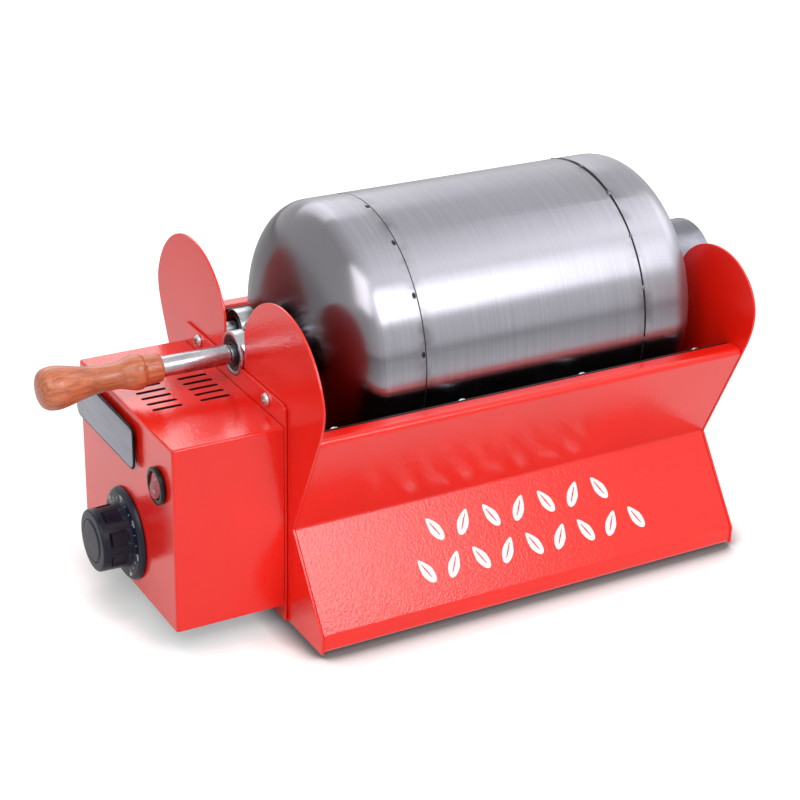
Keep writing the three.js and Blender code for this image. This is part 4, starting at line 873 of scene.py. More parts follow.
def drawn(outlines, start, end, edge=0.3, steps=2):
    """Makes a plate along X from (across, up) outlines; the first is its rim and the others are its holes."""
    data = bpy.data.curves.new("drawing", "CURVE")
    data.dimensions = "2D"
    data.fill_mode = "BOTH"
    data.extrude = (end - start) / 2 - edge
    data.bevel_depth = edge
    data.bevel_resolution = steps
    data.offset = -edge
    for i, outline in enumerate(outlines):
        area = sum(a[0] * b[1] - b[0] * a[1] for a, b in zip(outline, outline[1:] + outline[:1]))
        points = outline if (area > 0) == (i == 0) else outline[::-1]
        spline = data.splines.new("POLY")
        spline.points.add(len(points) - 1)
        for corner, point in zip(spline.points, points):
            corner.co = (point[0], point[1], 0, 1)
        spline.use_cyclic_u = True
    return moved(cleaned(worked(data)), ACROSS_UP_TO_YZ, shift(((start + end) / 2, 0, 0)))


def arc(across, up, radius, start, end, steps):
    """Points of an arc, both ends included."""
    return [(across + radius * math.cos(start + (end - start) * i / steps),
             up + radius * math.sin(start + (end - start) * i / steps)) for i in range(steps + 1)]


def circle(across, up, radius, steps=48):
    """Points of a whole circle, each once."""
    return arc(across, up, radius, 0, FULL_TURN, steps)[:-1]


def stadium(across, up, length, width, steps=8):
    """A slot with round ends, drawn along the first axis."""
    half = (length - width) / 2
    return (arc(across + half, up, width / 2, -QUARTER, QUARTER, steps)
            + arc(across - half, up, width / 2, QUARTER, 3 * QUARTER, steps))


def rounded_rectangle(across, up, width, height, corner, steps=8):
    """Outline of a rectangle with round corners, drawn about its middle."""
    half_x, half_y = width / 2 - corner, height / 2 - corner
    points = []
    for k, (x, y) in enumerate(((half_x, -half_y), (half_x, half_y), (-half_x, half_y), (-half_x, -half_y))):
        points += arc(across + x, up + y, corner, (k - 1) * QUARTER, k * QUARTER, steps)
    return points


def block(low, high):
    """A plain box mesh between two corners, used to cut or to start a shape."""
    work = bmesh.new()
    bmesh.ops.create_cube(work, size=1)
    low, high = Vector(low), Vector(high)
    for corner in work.verts:
        corner.co = Vector(low[k] + (corner.co[k] + 0.5) * (high[k] - low[k]) for k in range(3))
    mesh = bpy.data.meshes.new("block")
    work.to_mesh(mesh)
    work.free()
    return mesh


def bent_sheet(points, thickness, bend):
    """Section of a bent sheet. The points run along one face, and the sheet lies on their right."""
    corners = [Vector(point) for point in points]
    face, back = [], []

    def right_of(way):
        return Vector((way.y, -way.x))

    def add(corner, normal):
        face.append(tuple(corner))
        back.append(tuple(corner + normal * thickness))

    ways = [(b - a).normalized() for a, b in zip(corners, corners[1:])]
    add(corners[0], right_of(ways[0]))
    for corner, before, after in zip(corners[1:-1], ways, ways[1:]):
        angle = math.atan2(before.x * after.y - before.y * after.x, before.dot(after))
        radius = bend + thickness if angle < 0 else bend
        start = corner - before * radius * math.tan(abs(angle) / 2)
        side = 1 if angle < 0 else -1
        normal = right_of(before)
        middle = start + normal * side * radius
        for k in range(BEND_STEPS + 1):
            swung = normal.copy()
            swung.rotate(Matrix.Rotation(angle * k / BEND_STEPS, 2))
            add(middle - swung * side * radius, swung)
    add(corners[-1], right_of(ways[-1]))
    return face + back[::-1]


# Geometry Nodes trees that repeat a piece


def start_tree(name, *extra):
    """Starts a tree with the piece to repeat, its named sizes, and its material."""
    tree = bpy.data.node_groups.new(name, "GeometryNodeTree")
    tree.interface.new_socket("Geometry", in_out="INPUT", socket_type="NodeSocketGeometry")
    for label, kind in (("Count", "NodeSocketInt"),) + extra + (("Material", "NodeSocketMaterial"),):
        tree.interface.new_socket(label, in_out="INPUT", socket_type=kind)
    tree.interface.new_socket("Geometry", in_out="OUTPUT", socket_type="NodeSocketGeometry")
    return tree, put(tree, "NodeGroupInput").outputs


def end_tree(tree, given, instances):
    """Ends a tree: the copies become real, take the material and leave as one mesh."""
    real = put(tree, "GeometryNodeRealizeInstances", {"Geometry": instances}, 0)
    dressed = put(tree, "GeometryNodeSetMaterial", {"Geometry": real, "Material": given["Material"]}, 0)
    put(tree, "NodeGroupOutput", {"Geometry": dressed})


def row_tree():
    """Repeats a piece along X."""
    tree, given = start_tree("row_of_copies", ("Pitch", "NodeSocketFloat"))
    offset = put(tree, JOIN, {"X": given["Pitch"]}, 0)
    line = put(tree, "GeometryNodeMeshLine", {"Count": given["Count"], "Offset": offset}, 0)
    end_tree(tree, given, put(tree, COPIES, {"Points": line, "Instance": given["Geometry"]}, 0))
    return tree


def ring_tree():
    """Repeats a piece round the X axis, from a first angle in equal steps."""
    tree, given = start_tree("ring_of_copies", ("Start", "NodeSocketFloat"), ("Step", "NodeSocketFloat"))
    line = put(tree, "GeometryNodeMeshLine", {"Count": given["Count"], "Offset": (0, 0, 0)}, 0)
    index = put(tree, "GeometryNodeInputIndex", out=0)
    angle = put(tree, MATH, {0: index, 1: given["Step"], 2: given["Start"]}, 0, operation="MULTIPLY_ADD")
    swing = put(tree, JOIN, {"X": angle}, 0)
    copies = put(tree, COPIES, {"Points": line, "Instance": given["Geometry"], "Rotation": swing}, 0)
    end_tree(tree, given, copies)
    return tree


trees = {}


def repeated(kind, mesh, material, **sizes):
    """Runs a piece through one of the trees and gives the mesh of all its copies."""
    if kind not in trees:
        trees[kind] = {"row": row_tree, "ring": ring_tree}[kind]()
    tree = trees[kind]
    item = on_bench(mesh)
    modifier = item.modifiers.new("copies", "NODES")
    modifier.node_group = tree
    wanted = {**sizes, "Material": material}
    for socket in tree.interface.items_tree:
        if socket.in_out == "INPUT" and socket.name in wanted:
            modifier[socket.identifier] = wanted[socket.name]
    made = evaluated(item)
    off_bench(item)
    return made


# Pieces of the sheet-metal body


def meeting(a, b, c, way):
    """Where the line from a to b meets the line through c in the given direction."""
    along = b - a
    cross = along.x * way.y - along.y * way.x
    share = ((c - a).x * way.y - (c - a).y * way.x) / cross
    return a + along * share


def half_outline(ear, notch):
    """One side of an end plate, from its foot to the start of the notch, as (across, up) points."""
    foot = BASE_HALF + PLATE_PROUD
    waist = Vector((WAIST[0] + PLATE_PROUD, WAIST[1]))
    lip = Vector((LIP[0] + PLATE_PROUD, LIP[1]))
    ear_y = notch + ear["half_width"] - ear["inset"]

    def on_ear(angle):
        return Vector((ear_y + ear["half_width"] * math.cos(angle),
                       ear["height"] + ear["half_height"] * math.sin(angle)))

    start = on_ear(ear["start"])
    slope = Vector((-ear["half_width"] * math.sin(ear["start"]), ear["half_height"] * math.cos(ear["start"])))
    control = meeting(waist, lip, start, slope)
    last = math.pi - math.acos((ear["half_width"] - ear["inset"]) / ear["half_width"])
    points = [(foot, 0), (foot, STRIP_HEIGHT), tuple(waist)]
    for k in range(FLARE_STEPS):
        share = k / FLARE_STEPS
        points.append(tuple(lip.lerp(control, share).lerp(control.lerp(start, share), share)))
    return points + [tuple(on_ear(ear["start"] + (last - ear["start"]) * k / EAR_STEPS))
                     for k in range(EAR_STEPS + 1)]


def end_plate(ear, notch):
    """The whole outline of an end plate, round its notch for the drum's axis."""
    right = half_outline(ear, notch)
    axis = AXIS_HEIGHT - BODY_BOTTOM
    dip = arc(0, axis, notch, 0, -math.pi, NOTCH_STEPS)
    return right + dip + [(-x, z) for x, z in reversed(right)]


def placed_plate(outlines, start, end, edge):
    """A plate whose outlines count from the body's own datum."""
    return moved(drawn(outlines, start, end, edge), shift((LEFT_FACE, 0, BODY_BOTTOM)))


def drive_holes():
    """Holes for the heaters' legs and the pinion's bush, in the left end plate and the box's back plate."""
    legs = [circle(y, ELEMENT_HEIGHT, ELEMENT_HOLE) for y in ELEMENT_LEGS]
    return legs + [circle(0, PINION_HEIGHT, BUSH_HOLE)]


class ROASTER_OT_end_plates(bpy.types.Operator):
    """Makes both end plates with their ears, notches and drilled holes"""

    bl_idname = "roaster.end_plates"
    bl_label = "End Plates"

    def execute(self, context):
        edge = context.scene.roaster_sizes.sheet_edge / MM
        left = placed_plate([end_plate(LEFT_EAR, BEARING_NOTCH)] + drive_holes(), 0, PLATE_THICK, edge)
        coated("left_end_sheet", left, "left_end_plate")
        span = RIGHT_FACE - LEFT_FACE
        across, up, hole = NECK_STUD
        rim = [end_plate(RIGHT_EAR, MOUTH_NOTCH), circle(-across, up, hole), circle(across, up, hole)]
        right = placed_plate(rim, span - PLATE_THICK, span, edge)
        coated("right_end_sheet", right, "right_end_plate")
        return {"FINISHED"}


class ROASTER_OT_panels(bpy.types.Operator):
    """Makes the bent front and back panels"""

    bl_idname = "roaster.panels"
    bl_label = "Bent Panels"

    def execute(self, context):
        sizes = context.scene.roaster_sizes
        inner_lip = LIP[0] - LIP_WIDTH
        section = bent_sheet([
            (-(BASE_HALF - FOOT_FLANGE), 0), (-BASE_HALF, 0), (-BASE_HALF, STRIP_HEIGHT),
            (-WAIST[0], WAIST[1]), (-LIP[0], LIP[1]), (-inner_lip, LIP[1]), (-inner_lip, LIP[1] - LIP_DROP),
        ], PANEL_THICK, sizes.sheet_bend / MM)
        ends = PLATE_THICK + FIT, RIGHT_FACE - LEFT_FACE - PLATE_THICK - FIT
        for name, side in (("front", 1), ("back", -1)):
            panel = placed_plate([[(side * y, z) for y, z in section]], *ends, CUT_EDGE)
            coated(name + "_sheet", panel, name + "_panel")
        return {"FINISHED"}


class ROASTER_OT_trough(bpy.types.Operator):
    """Makes the black heat trough and the screws that hold it to both lips"""

    bl_idname = "roaster.trough"
    bl_label = "Heat Trough"

    def execute(self, context):
        sizes = context.scene.roaster_sizes
        bend = sizes.sheet_bend / MM
        half = LIP[0] - LIP_WIDTH - FIT
        top = LIP[1] - TROUGH_GAP
        right = [(half, top), (half, top - TROUGH_FLANGE), TROUGH_SHOULDER, TROUGH_FLOOR]
        section = bent_sheet(right + [(-y, z) for y, z in reversed(right)], TROUGH_THICK, bend)
        ends = PLATE_THICK + 2 * FIT, RIGHT_FACE - LEFT_FACE - PLATE_THICK - 2 * FIT
        trough = painted(placed_plate([section], *ends, CUT_EDGE), finishes["trough"])
        finished("heat_trough_sheet", trough, "stand", ["heat_trough"], sheet=True)
        for name, side in (("front", -1), ("back", 1)):
            head = pan_head(sizes.screw_head / MM)
            facing = moved(head, turn(side * QUARTER, "Z"))
            seat = at(TROUGH_SCREW_START, side * (half - TROUGH_THICK), LIP[1] - TROUGH_SCREW_DROP)
            copies = repeated("row", moved(facing, shift(seat)), finishes["plated"],
                              Count=TROUGH_SCREWS, Pitch=TROUGH_SCREW_PITCH)
            finished("trough_screws_" + name, copies, "stand")
        return {"FINISHED"}


def pan_head(radius, shank=2.5, height=2.4):
    """A pan-head screw with a cross recess. Its seat is at the origin, its head points to -X."""
    profile = softened([
        (shank, 0), (shank, radius * 0.4), (0, radius * 0.4), (0, radius), (-height * 0.35, radius),
        (-height * 0.8, radius * 0.78), (-height, radius * 0.35), (-height, 0),
    ], 0.35, loop=False)
    head = turned(profile, 48)
    top, floor = -height - 1, -height + height * 0.75
    arm, width = radius * 0.62, radius * 0.17
    return cut_from(head, block((top, -arm, -width), (floor, arm, width)),
                    block((top, -width, -arm), (floor, width, arm)))


class ROASTER_OT_feet(bpy.types.Operator):
    """Makes the rubber feet and the screws through them"""

    bl_idname = "roaster.feet"
    bl_label = "Feet"

    def execute(self, context):
        radius = context.scene.roaster_sizes.screw_head / MM * FOOT_SCREW_SHARE
        for corner in ("front_left", "back_left", "front_right", "back_right"):
            node = "foot_" + corner
            finished("rubber_" + node, painted(respun(node, 64, 0.5, axis=2), finishes["rubber"]),
                     "stand", [node])
            seat = Vector((*centre_of(node).xy, FOOT_SCREW_SEAT))
            head = moved(pan_head(radius, 1.4, 1.4), turn(-QUARTER, "Y"), shift(seat))
            finished("foot_screw_" + corner, painted(head, finishes["plated"]), "stand")
        return {"FINISHED"}


# Pieces of the control box


class ROASTER_OT_box(bpy.types.Operator):
    """Makes the box cover with its vents, the back plate and the flange screws"""

    bl_idname = "roaster.box"
    bl_label = "Control Box"

    def execute(self, context):
        sizes = context.scene.roaster_sizes
        edge, wall = sizes.cover_edge / MM, sizes.cover_wall / MM
        low, high = BOX_LOW, BOX_HIGH
        shell = round_front_and_top(block(low, high), low, high, edge)
        inner_low = Vector((low.x + wall, low.y + wall, low.z - 5))
        inner_high = Vector((high.x + 5, high.y - wall, high.z - wall))
        cavity = round_front_and_top(block(inner_low, inner_high), inner_low, inner_high, edge - wall)
        tools = [cavity]

        def through(outline, *transforms):
            """Adds a tool that cuts an outline through the wall."""
            cutter = drawn([outline], 0, wall + 2 * CUT_PAST, 0.001, 0)
            tools.append(moved(cutter, *transforms))

        for group in VENT_GROUPS:
            for k in range(VENTS):
                slot = stadium(0, (k - (VENTS - 1) / 2) * VENT_PITCH, VENT_LENGTH, VENT_WIDTH)
                # Drawn in (X, Y) and raised through the top
                through(slot, YZ_TO_XY, shift((LEFT_FACE + group, 0, high.z - wall - CUT_PAST)))
        for across, up, radius in ((0, KNOB_HEIGHT, KNOB_HOLE), (*SWITCH, SWITCH_HOLE)):
            through(circle(across, up, radius), shift((low.x - CUT_PAST, 0, BODY_BOTTOM)))
        gland = at(GLAND[0], high.y - wall - CUT_PAST, GLAND[1])
        through(circle(0, 0, GLAND_HOLE), turn(QUARTER, "Z"), shift(gland))
        cover = cleaned(cut_from(shell, *tools), outwards=False)
        cover = worked(cover, rounding(COVER_SOFTENING, 2, 50))
        # The cover's inside and its slot walls are painted near black as painted shade
        cover = painted_inside_shade(painted(cover, finishes["coat"]), low, high)
        finished("cover_sheet", cover, "stand", ["box_cover"], sheet=True)

        plate_low, plate_high = corners_of("box_back_plate")
        half, top = plate_high.y, BACK_PLATE_TOP
        inset, level = half - BACK_PLATE_CORNER, top - BACK_PLATE_CORNER
        right_corner = arc(inset, level, BACK_PLATE_CORNER, 0, QUARTER, 8)
        left_corner = arc(-inset, level, BACK_PLATE_CORNER, QUARTER, math.pi, 8)
        axis = AXIS_HEIGHT - BODY_BOTTOM
        # The bearing's notch opens through the top edge
        reach = math.sqrt(BEARING_NOTCH ** 2 - (axis - top) ** 2)
        start = math.atan2(top - axis, reach)
        dip = arc(0, axis, BEARING_NOTCH, start, -math.pi - start, NOTCH_STEPS)
        rim = [(-half, 0), (half, 0)] + right_corner + dip + left_corner
        ends = plate_low.x - LEFT_FACE, plate_high.x - LEFT_FACE
        plate = placed_plate([rim] + drive_holes(), *ends, 0.25)
        coated("back_plate_sheet", plate, "box_back_plate")
        for name, side in (("front", -1), ("back", 1)):
            seat = Vector((plate_low.x, side * FLANGE_SCREW[0], BODY_BOTTOM + FLANGE_SCREW[1]))
            head = moved(pan_head(sizes.screw_head / MM * 1.08, 3), turn(0.5 * side, "X"), shift(seat))
            finished("flange_screw_head_" + name, painted(head, finishes["plated"]), "stand",
                     ["flange_screw_" + name])
        return {"FINISHED"}


def painted_inside_shade(mesh, low, high):
    """Gives a cover's inside and the walls of its slots a near-black finish: painted shade of the box's dark
    inside.
    """
    mesh.materials.append(finishes["trough"])
    for face in mesh.polygons:
        middle = face.center
        depth = min(middle.x - low.x, middle.y - low.y, high.y - middle.y, high.z - middle.z)
        if depth > INSIDE_SHADE_DEPTH:
            face.material_index = 1
    return mesh


def round_front_and_top(mesh, low, high, radius):
    """Rounds the edges of a box round its front face and along its top."""
    work = bmesh.new()
    work.from_mesh(mesh)

    def rounds(edge):
        a, b = (corner.co for corner in edge.verts)

        def lies_at(axis, value):
            return abs(a[axis] - value) < 0.01 and abs(b[axis] - value) < 0.01

        in_front = lies_at(0, low.x) and not lies_at(2, low.z)
        return in_front or (lies_at(2, high.z) and abs(a.x - b.x) > 1)

    bmesh.ops.bevel(work, geom=[edge for edge in work.edges if rounds(edge)], offset=radius, segments=5,
                    profile=0.5, affect="EDGES")
    work.to_mesh(mesh)
    work.free()
    return mesh


def smooth_step(value, low, high):
    """Rises smoothly from 0 to 1 between two values."""
    share = min(max((value - low) / (high - low), 0), 1)
    return share * share * (3 - 2 * share)


class ROASTER_OT_knob(bpy.types.Operator):
    """Makes the thermostat knob with its finger pockets, skirt, cap and dial marks"""

    bl_idname = "roaster.knob"
    bl_label = "Thermostat Knob"

    def execute(self, context):
        centre = centre_of("knob_cap")
        back = corners_of("thermostat_knob")[1].x
        front = back - KNOB_LENGTH
        skirt = back - SKIRT_THICK
        rim = CAP_RADIUS + FIT
        floor = front + CAP_SINK + FIT
        profile = [(floor, 0), (floor, rim), (front, rim), (front, KNOB_FRONT_RADIUS - KNOB_EDGE)]
        profile += [(front + KNOB_EDGE * (1 - math.cos(a)), KNOB_FRONT_RADIUS - KNOB_EDGE * (1 - math.sin(a)))
                    for a in (QUARTER * k / 5 for k in range(1, 6))]
        for k in range(1, KNOB_ROWS):
            share = k / KNOB_ROWS
            along = front + KNOB_EDGE + (skirt - KNOB_EDGE - front - KNOB_EDGE) * share
            profile.append((along, KNOB_FRONT_RADIUS + (KNOB_RADIUS - KNOB_FRONT_RADIUS) * share))
        profile += [(skirt - 0.4, KNOB_RADIUS + 0.1), (skirt, KNOB_RADIUS + KNOB_FILLET)]
        deep, wide = SKIRT_BEVEL
        outer = softened([
            (skirt, KNOB_RADIUS + KNOB_FILLET), (skirt, SKIRT_RADIUS - wide),
            (skirt + deep, SKIRT_RADIUS - SKIRT_EDGE), (back - SKIRT_EDGE, SKIRT_RADIUS),
            (back, SKIRT_RADIUS), (back, 0),
        ], KNOB_FILLET, loop=False)
        profile += outer[1:]
        mesh = turned(profile, KNOB_STEPS)
        step = FULL_TURN / KNOB_POCKETS
        half = step / 2 * POCKET_SHARE
        for corner in mesh.vertices:
            x, y, z = corner.co
            radius = math.hypot(y, z)
            # Only the grip's wall is sunk, not the front face, its edge or the skirt
            if not (KNOB_FRONT_RADIUS - 0.3 < radius < KNOB_RADIUS + 0.05 and front + 2 < x < skirt - 0.6):
                continue
            away = abs((math.atan2(y, z) + FULL_TURN) % step - step / 2)
            sunk = 1 - smooth_step(away, *(half * share for share in POCKET_SIDES))
            sunk *= smooth_step(x, *(front + reach for reach in POCKET_FRONT))
            sunk *= 1 - smooth_step(x, *(skirt - reach for reach in POCKET_FOOT))
            target = (KNOB_RADIUS - POCKET_DEPTH) / math.cos(min(away, half))
            factor = 1 + (target / radius - 1) * sunk
            corner.co.y, corner.co.z = y * factor, z * factor
        knob = painted(moved(mesh, shift((0, 0, centre.z))), finishes["plastic"])
        finished("knob_moulding", knob, "knob", ["thermostat_knob"], sharp=40)
        cap = painted(respun("knob_cap", 96, 0.6), finishes["plastic"])
        finished("knob_cap_disc", cap, "knob", ["knob_cap"])
        finished("knob_dial_marks", dial_marks(skirt, centre.z), "knob")
        return {"FINISHED"}


def flat_text(words, size):
    """A word as a thin mesh in the (Y, Z) plane that reads from -X."""
    data = bpy.data.curves.new("words", "FONT")
    data.body = words
    data.size = size
    data.align_x = "CENTER"
    data.align_y = "CENTER"
    data.extrude = INK_THICK / 2
    # Text X runs to -Y, text Y runs to Z, and its face looks to -X
    return moved(worked(data), TEXT_TO_FRONT)


def dial_marks(face, height):
    """Ticks and plain numbers on the knob's skirt."""
    tick = block((-INK_THICK, -0.2, TICK_RADII[0]), (0, 0.2, TICK_RADII[1]))
    step = DIAL_SWEEP / (DIAL_TICKS - 1)
    parts = [repeated("ring", tick, finishes["ink"], Count=DIAL_TICKS, Start=-DIAL_SWEEP / 2, Step=step)]
    for k, label in enumerate(DIAL_LABELS):
        angle = DIAL_SWEEP * (k / (len(DIAL_LABELS) - 1) - 1 / 2)
        place = shift((-INK_THICK / 2, 0, LABEL_RADIUS))
        word = moved(flat_text(label, LABEL_HEIGHT), place, turn(angle, "X"))
        parts.append(painted(word, finishes["ink"]))
    return moved(joined(*parts), shift((face, 0, height)))


class ROASTER_OT_switch(bpy.types.Operator):
    """Makes the round switch bezel and its red rocker"""

    bl_idname = "roaster.switch"
    bl_label = "Rocker Switch"

    def execute(self, context):
        low, high = corners_of("switch_body")
        centre = centre_of("switch_body")
        face = low.x + BEZEL_DEPTH
        shell = turned(softened([
            (low.x, 0), (low.x, BEZEL_RADIUS), (face, BEZEL_RADIUS),
            (face, BARREL_RADIUS), (high.x, BARREL_RADIUS), (high.x, 0),
        ], 1.1, 5, loop=False), 96)
        mouth, wide = low.x - 0.01, WINDOW_RADIUS + WINDOW_BEVEL
        floor = low.x + WINDOW_DEPTH
        window = turned([(mouth - 5, 0), (mouth - 5, wide), (mouth, wide),
                         (mouth + WINDOW_BEVEL, WINDOW_RADIUS), (floor, WINDOW_RADIUS), (floor, 0)], 96)
        body = cut_from(shell, window)
        body = painted(moved(body, shift((0, centre.y, centre.z))), finishes["bezel"])
        finished("switch_bezel", body, "stand", ["switch_body"])

        half = ROCKER_THICK / 2
        hollow = [(-half + ROCKER_SINK * (1 - share ** 2) / 2, ROCKER_RADIUS * share)
                  for share in (k / 10 - 1 for k in range(21))]
        back = ROCKER_RADIUS * ROCKER_BACK_SHARE
        section = hollow + [(half, back), (half, -back)]
        # Drawn as (across, up) along X; here across is X and the length is Y
        bar = cleaned(moved(drawn([section], -ROCKER_RADIUS - 1, ROCKER_RADIUS + 1, 0.001, 0), YZ_TO_XZ))
        rod = turned([(-ROCKER_THICK, 0), (-ROCKER_THICK, ROCKER_RADIUS), (ROCKER_THICK, ROCKER_RADIUS),
                      (ROCKER_THICK, 0)], 96)
        lens = worked(cleaned(cut_from(bar, rod, operation="INTERSECT")), rounding(0.35, 3, 50))
        marks = []
        for words, height in (("I", ROCKER_MARK_PLACE), ("O", -ROCKER_MARK_PLACE)):
            face = -half + ROCKER_SINK * (1 - (height / ROCKER_RADIUS) ** 2) / 2
            lean = math.atan(-ROCKER_SINK * height / ROCKER_RADIUS ** 2)
            place = shift((face - INK_THICK, 0, height))
            mark = moved(flat_text(words, ROCKER_MARK), turn(-lean, "Y"), place)
            marks.append(painted(mark, finishes["ink"]))
        pivot = Vector((low.x + half, centre.y, centre.z))
        rocker = moved(joined(painted(lens, finishes["lens"]), *marks), turn(ROCKER_TILT, "Y"), shift(pivot))
        finished("switch_rocker_lens", rocker, "rocker", ["switch_rocker"])
        return {"FINISHED"}


class ROASTER_OT_badge(bpy.types.Operator):
    """Makes the blank plate on the front of the box, with its dark edge of painted shade"""

    bl_idname = "roaster.badge"
    bl_label = "Blank Plate"

    def execute(self, context):
        low, high = corners_of("blank_badge")
        centre = (low + high) / 2
        width, height = high.y - low.y, high.z - low.z
        outline = rounded_rectangle(centre.y, centre.z, width, height, BADGE_CORNER)
        inner = rounded_rectangle(centre.y, centre.z, width - 2 * BADGE_RIM, height - 2 * BADGE_RIM,
                                  BADGE_CORNER - BADGE_RIM)
        # The dark backing that rims the plate is painted shade
        backing = drawn([outline], *(low.x + depth for depth in BADGE_BACKING), 0.3)
        backing = painted(backing, finishes["badge_rim"])
        face = painted(drawn([inner], low.x, low.x + BADGE_FACE, 0.2), finishes["badge"])
        start = low.x + 1.2
        pad = [(start, 0), (start, BADGE_PAD_RADIUS), (high.x, BADGE_PAD_RADIUS), (high.x, 0)]
        pads = [painted(turned(softened(pad, 0.2, loop=False), 32, (0, centre.y + across, centre.z)),
                        finishes["plastic"]) for across in (-BADGE_PAD, BADGE_PAD)]
        finished("blank_plate", joined(backing, face, *pads), "stand", ["blank_badge"])
        return {"FINISHED"}


class ROASTER_OT_gland(bpy.types.Operator):
    """Makes the cable gland on the back side of the box"""

    bl_idname = "roaster.gland"
    bl_label = "Cable Gland"

    def execute(self, context):
        low, high = corners_of("cable_gland")
        wall = BOX_HIGH.y
        collar = drawn([circle(0, 0, GLAND_HEXAGON, 6)], 0.3, 5.3, 0.5, 3)
        dome = turned(softened([
            (2.8, GLAND_BORE), (2.8, GLAND_DOME), (9.5, GLAND_DOME), (high.y - wall, GLAND_BORE + 1),
            (high.y - wall, GLAND_BORE),
        ], 0.9, 4), 96)
        ribs = repeated("ring", block((5.4, -0.45, 7.6), (9.3, 0.45, 8.35)), finishes["plastic"],
                        Count=GLAND_RIBS, Start=0.0, Step=FULL_TURN / GLAND_RIBS)
        thread = turned(softened([
            (low.y - wall, GLAND_BORE), (low.y - wall, GLAND_THREAD), (3, GLAND_THREAD), (3, GLAND_BORE),
        ], 0.3), 64)
        gland = joined(*(painted(part, finishes["plastic"]) for part in (collar, dome, ribs, thread)))
        place = Vector(((low.x + high.x) / 2, wall, (low.z + high.z) / 2))
        finished("gland_moulding", moved(gland, turn(QUARTER, "Z"), shift(place)), "stand",
                 ["cable_gland"])
        return {"FINISHED"}


# The drum and what turns with it


def knuckle(flat, way, length, depth, radius):
    """A quarter ellipse that turns the flat of a dome into its wall."""
    return [(flat + way * length * (1 - math.cos(QUARTER * k / KNUCKLE_STEPS)),
             radius - depth * (1 - math.sin(QUARTER * k / KNUCKLE_STEPS))) for k in range(KNUCKLE_STEPS + 1)]


def dome(flat, seam, size, bore, groove):
    """A spun dome: its flat, its knuckle and the short wall that ends at the seam."""
    way = 1 if seam > flat else -1
    outer = knuckle(flat, way, *size, DRUM_RADIUS)
    within = (part - DRUM_WALL for part in (*size, DRUM_RADIUS))
    inner = knuckle(flat + way * DRUM_WALL, way, *within)
    profile = [(flat, bore)] + outer + [(seam - way * groove, DRUM_RADIUS), (seam, DRUM_RADIUS - groove),
                                        (seam, DRUM_RADIUS - DRUM_WALL)]
    return turned(profile + inner[::-1] + [(flat + way * DRUM_WALL, bore)], DRUM_STEPS)


def gape(mesh, seam, groove):
    """Opens the mouth-side seam's groove at the top of the drum, where the weld was pulled less close."""
    for corner in mesh.vertices:
        x, y, z = corner.co
        if abs(math.hypot(y, z) - DRUM_RADIUS) < 0.01 and abs(abs(x - seam) - groove) < 0.05:
            angle = math.degrees(math.atan2(z, -y))
            open_here = smooth_step(angle, *GAPE_RISE) * smooth_step(angle, *GAPE_FALL)
            corner.co.x += math.copysign(open_here * GAPE, x - seam)


def shaded_seam_groove(mesh, seam):
    """Blackens the slope of a seam's groove, as painted shade."""
    mesh.materials.append(finishes["groove"])
    for face in mesh.polygons:
        x, y, z = face.center
        if abs(x - seam) < 3 and 0.05 < DRUM_RADIUS - math.hypot(y, z) < DRUM_WALL / 2:
            face.material_index = 1
    return mesh


def flight(start, end):
    """One twisted mixing blade, standing on the inside of the shell."""
    half, outer = FLIGHT_THICK / 2, DRUM_RADIUS - DRUM_WALL / 2
    foot = outer - FLIGHT_HEIGHT
    points = []
    for k in range(FLIGHT_STEPS + 1):
        share = k / FLIGHT_STEPS
        cosine, sine = math.cos(FLIGHT_TWIST * share), math.sin(FLIGHT_TWIST * share)
        points += [(start + (end - start) * share, y * cosine - z * sine, y * sine + z * cosine)
                   for y, z in ((-half, foot), (half, foot), (half, outer), (-half, outer))]
    faces = [[0, 1, 2, 3], [4 * FLIGHT_STEPS + i for i in (3, 2, 1, 0)]]
    for k in range(FLIGHT_STEPS):
        for i in range(4):
            n = (i + 1) % 4
            faces.append([4 * k + i, 4 * (k + 1) + i, 4 * (k + 1) + n, 4 * k + n])
    mesh = bpy.data.meshes.new("flight")
    mesh.from_pydata(points, [], faces)
    return cleaned(mesh)


def tack(radius, proud):
    """A tack weld: a low round blob that bridges the seam, at the top of the drum."""
    steps = [QUARTER * k / 6 for k in range(6)]
    crown = [(proud * math.sin(angle), radius * math.cos(angle)) for angle in steps]
    blob = moved(turned([(-0.4, 0), (-0.4, radius)] + crown + [(proud, 0)], 20), turn(-QUARTER, "Y"))
    return moved(blob, Matrix.Diagonal(TACK_STRETCH), shift((0, 0, DRUM_RADIUS - 0.05)))


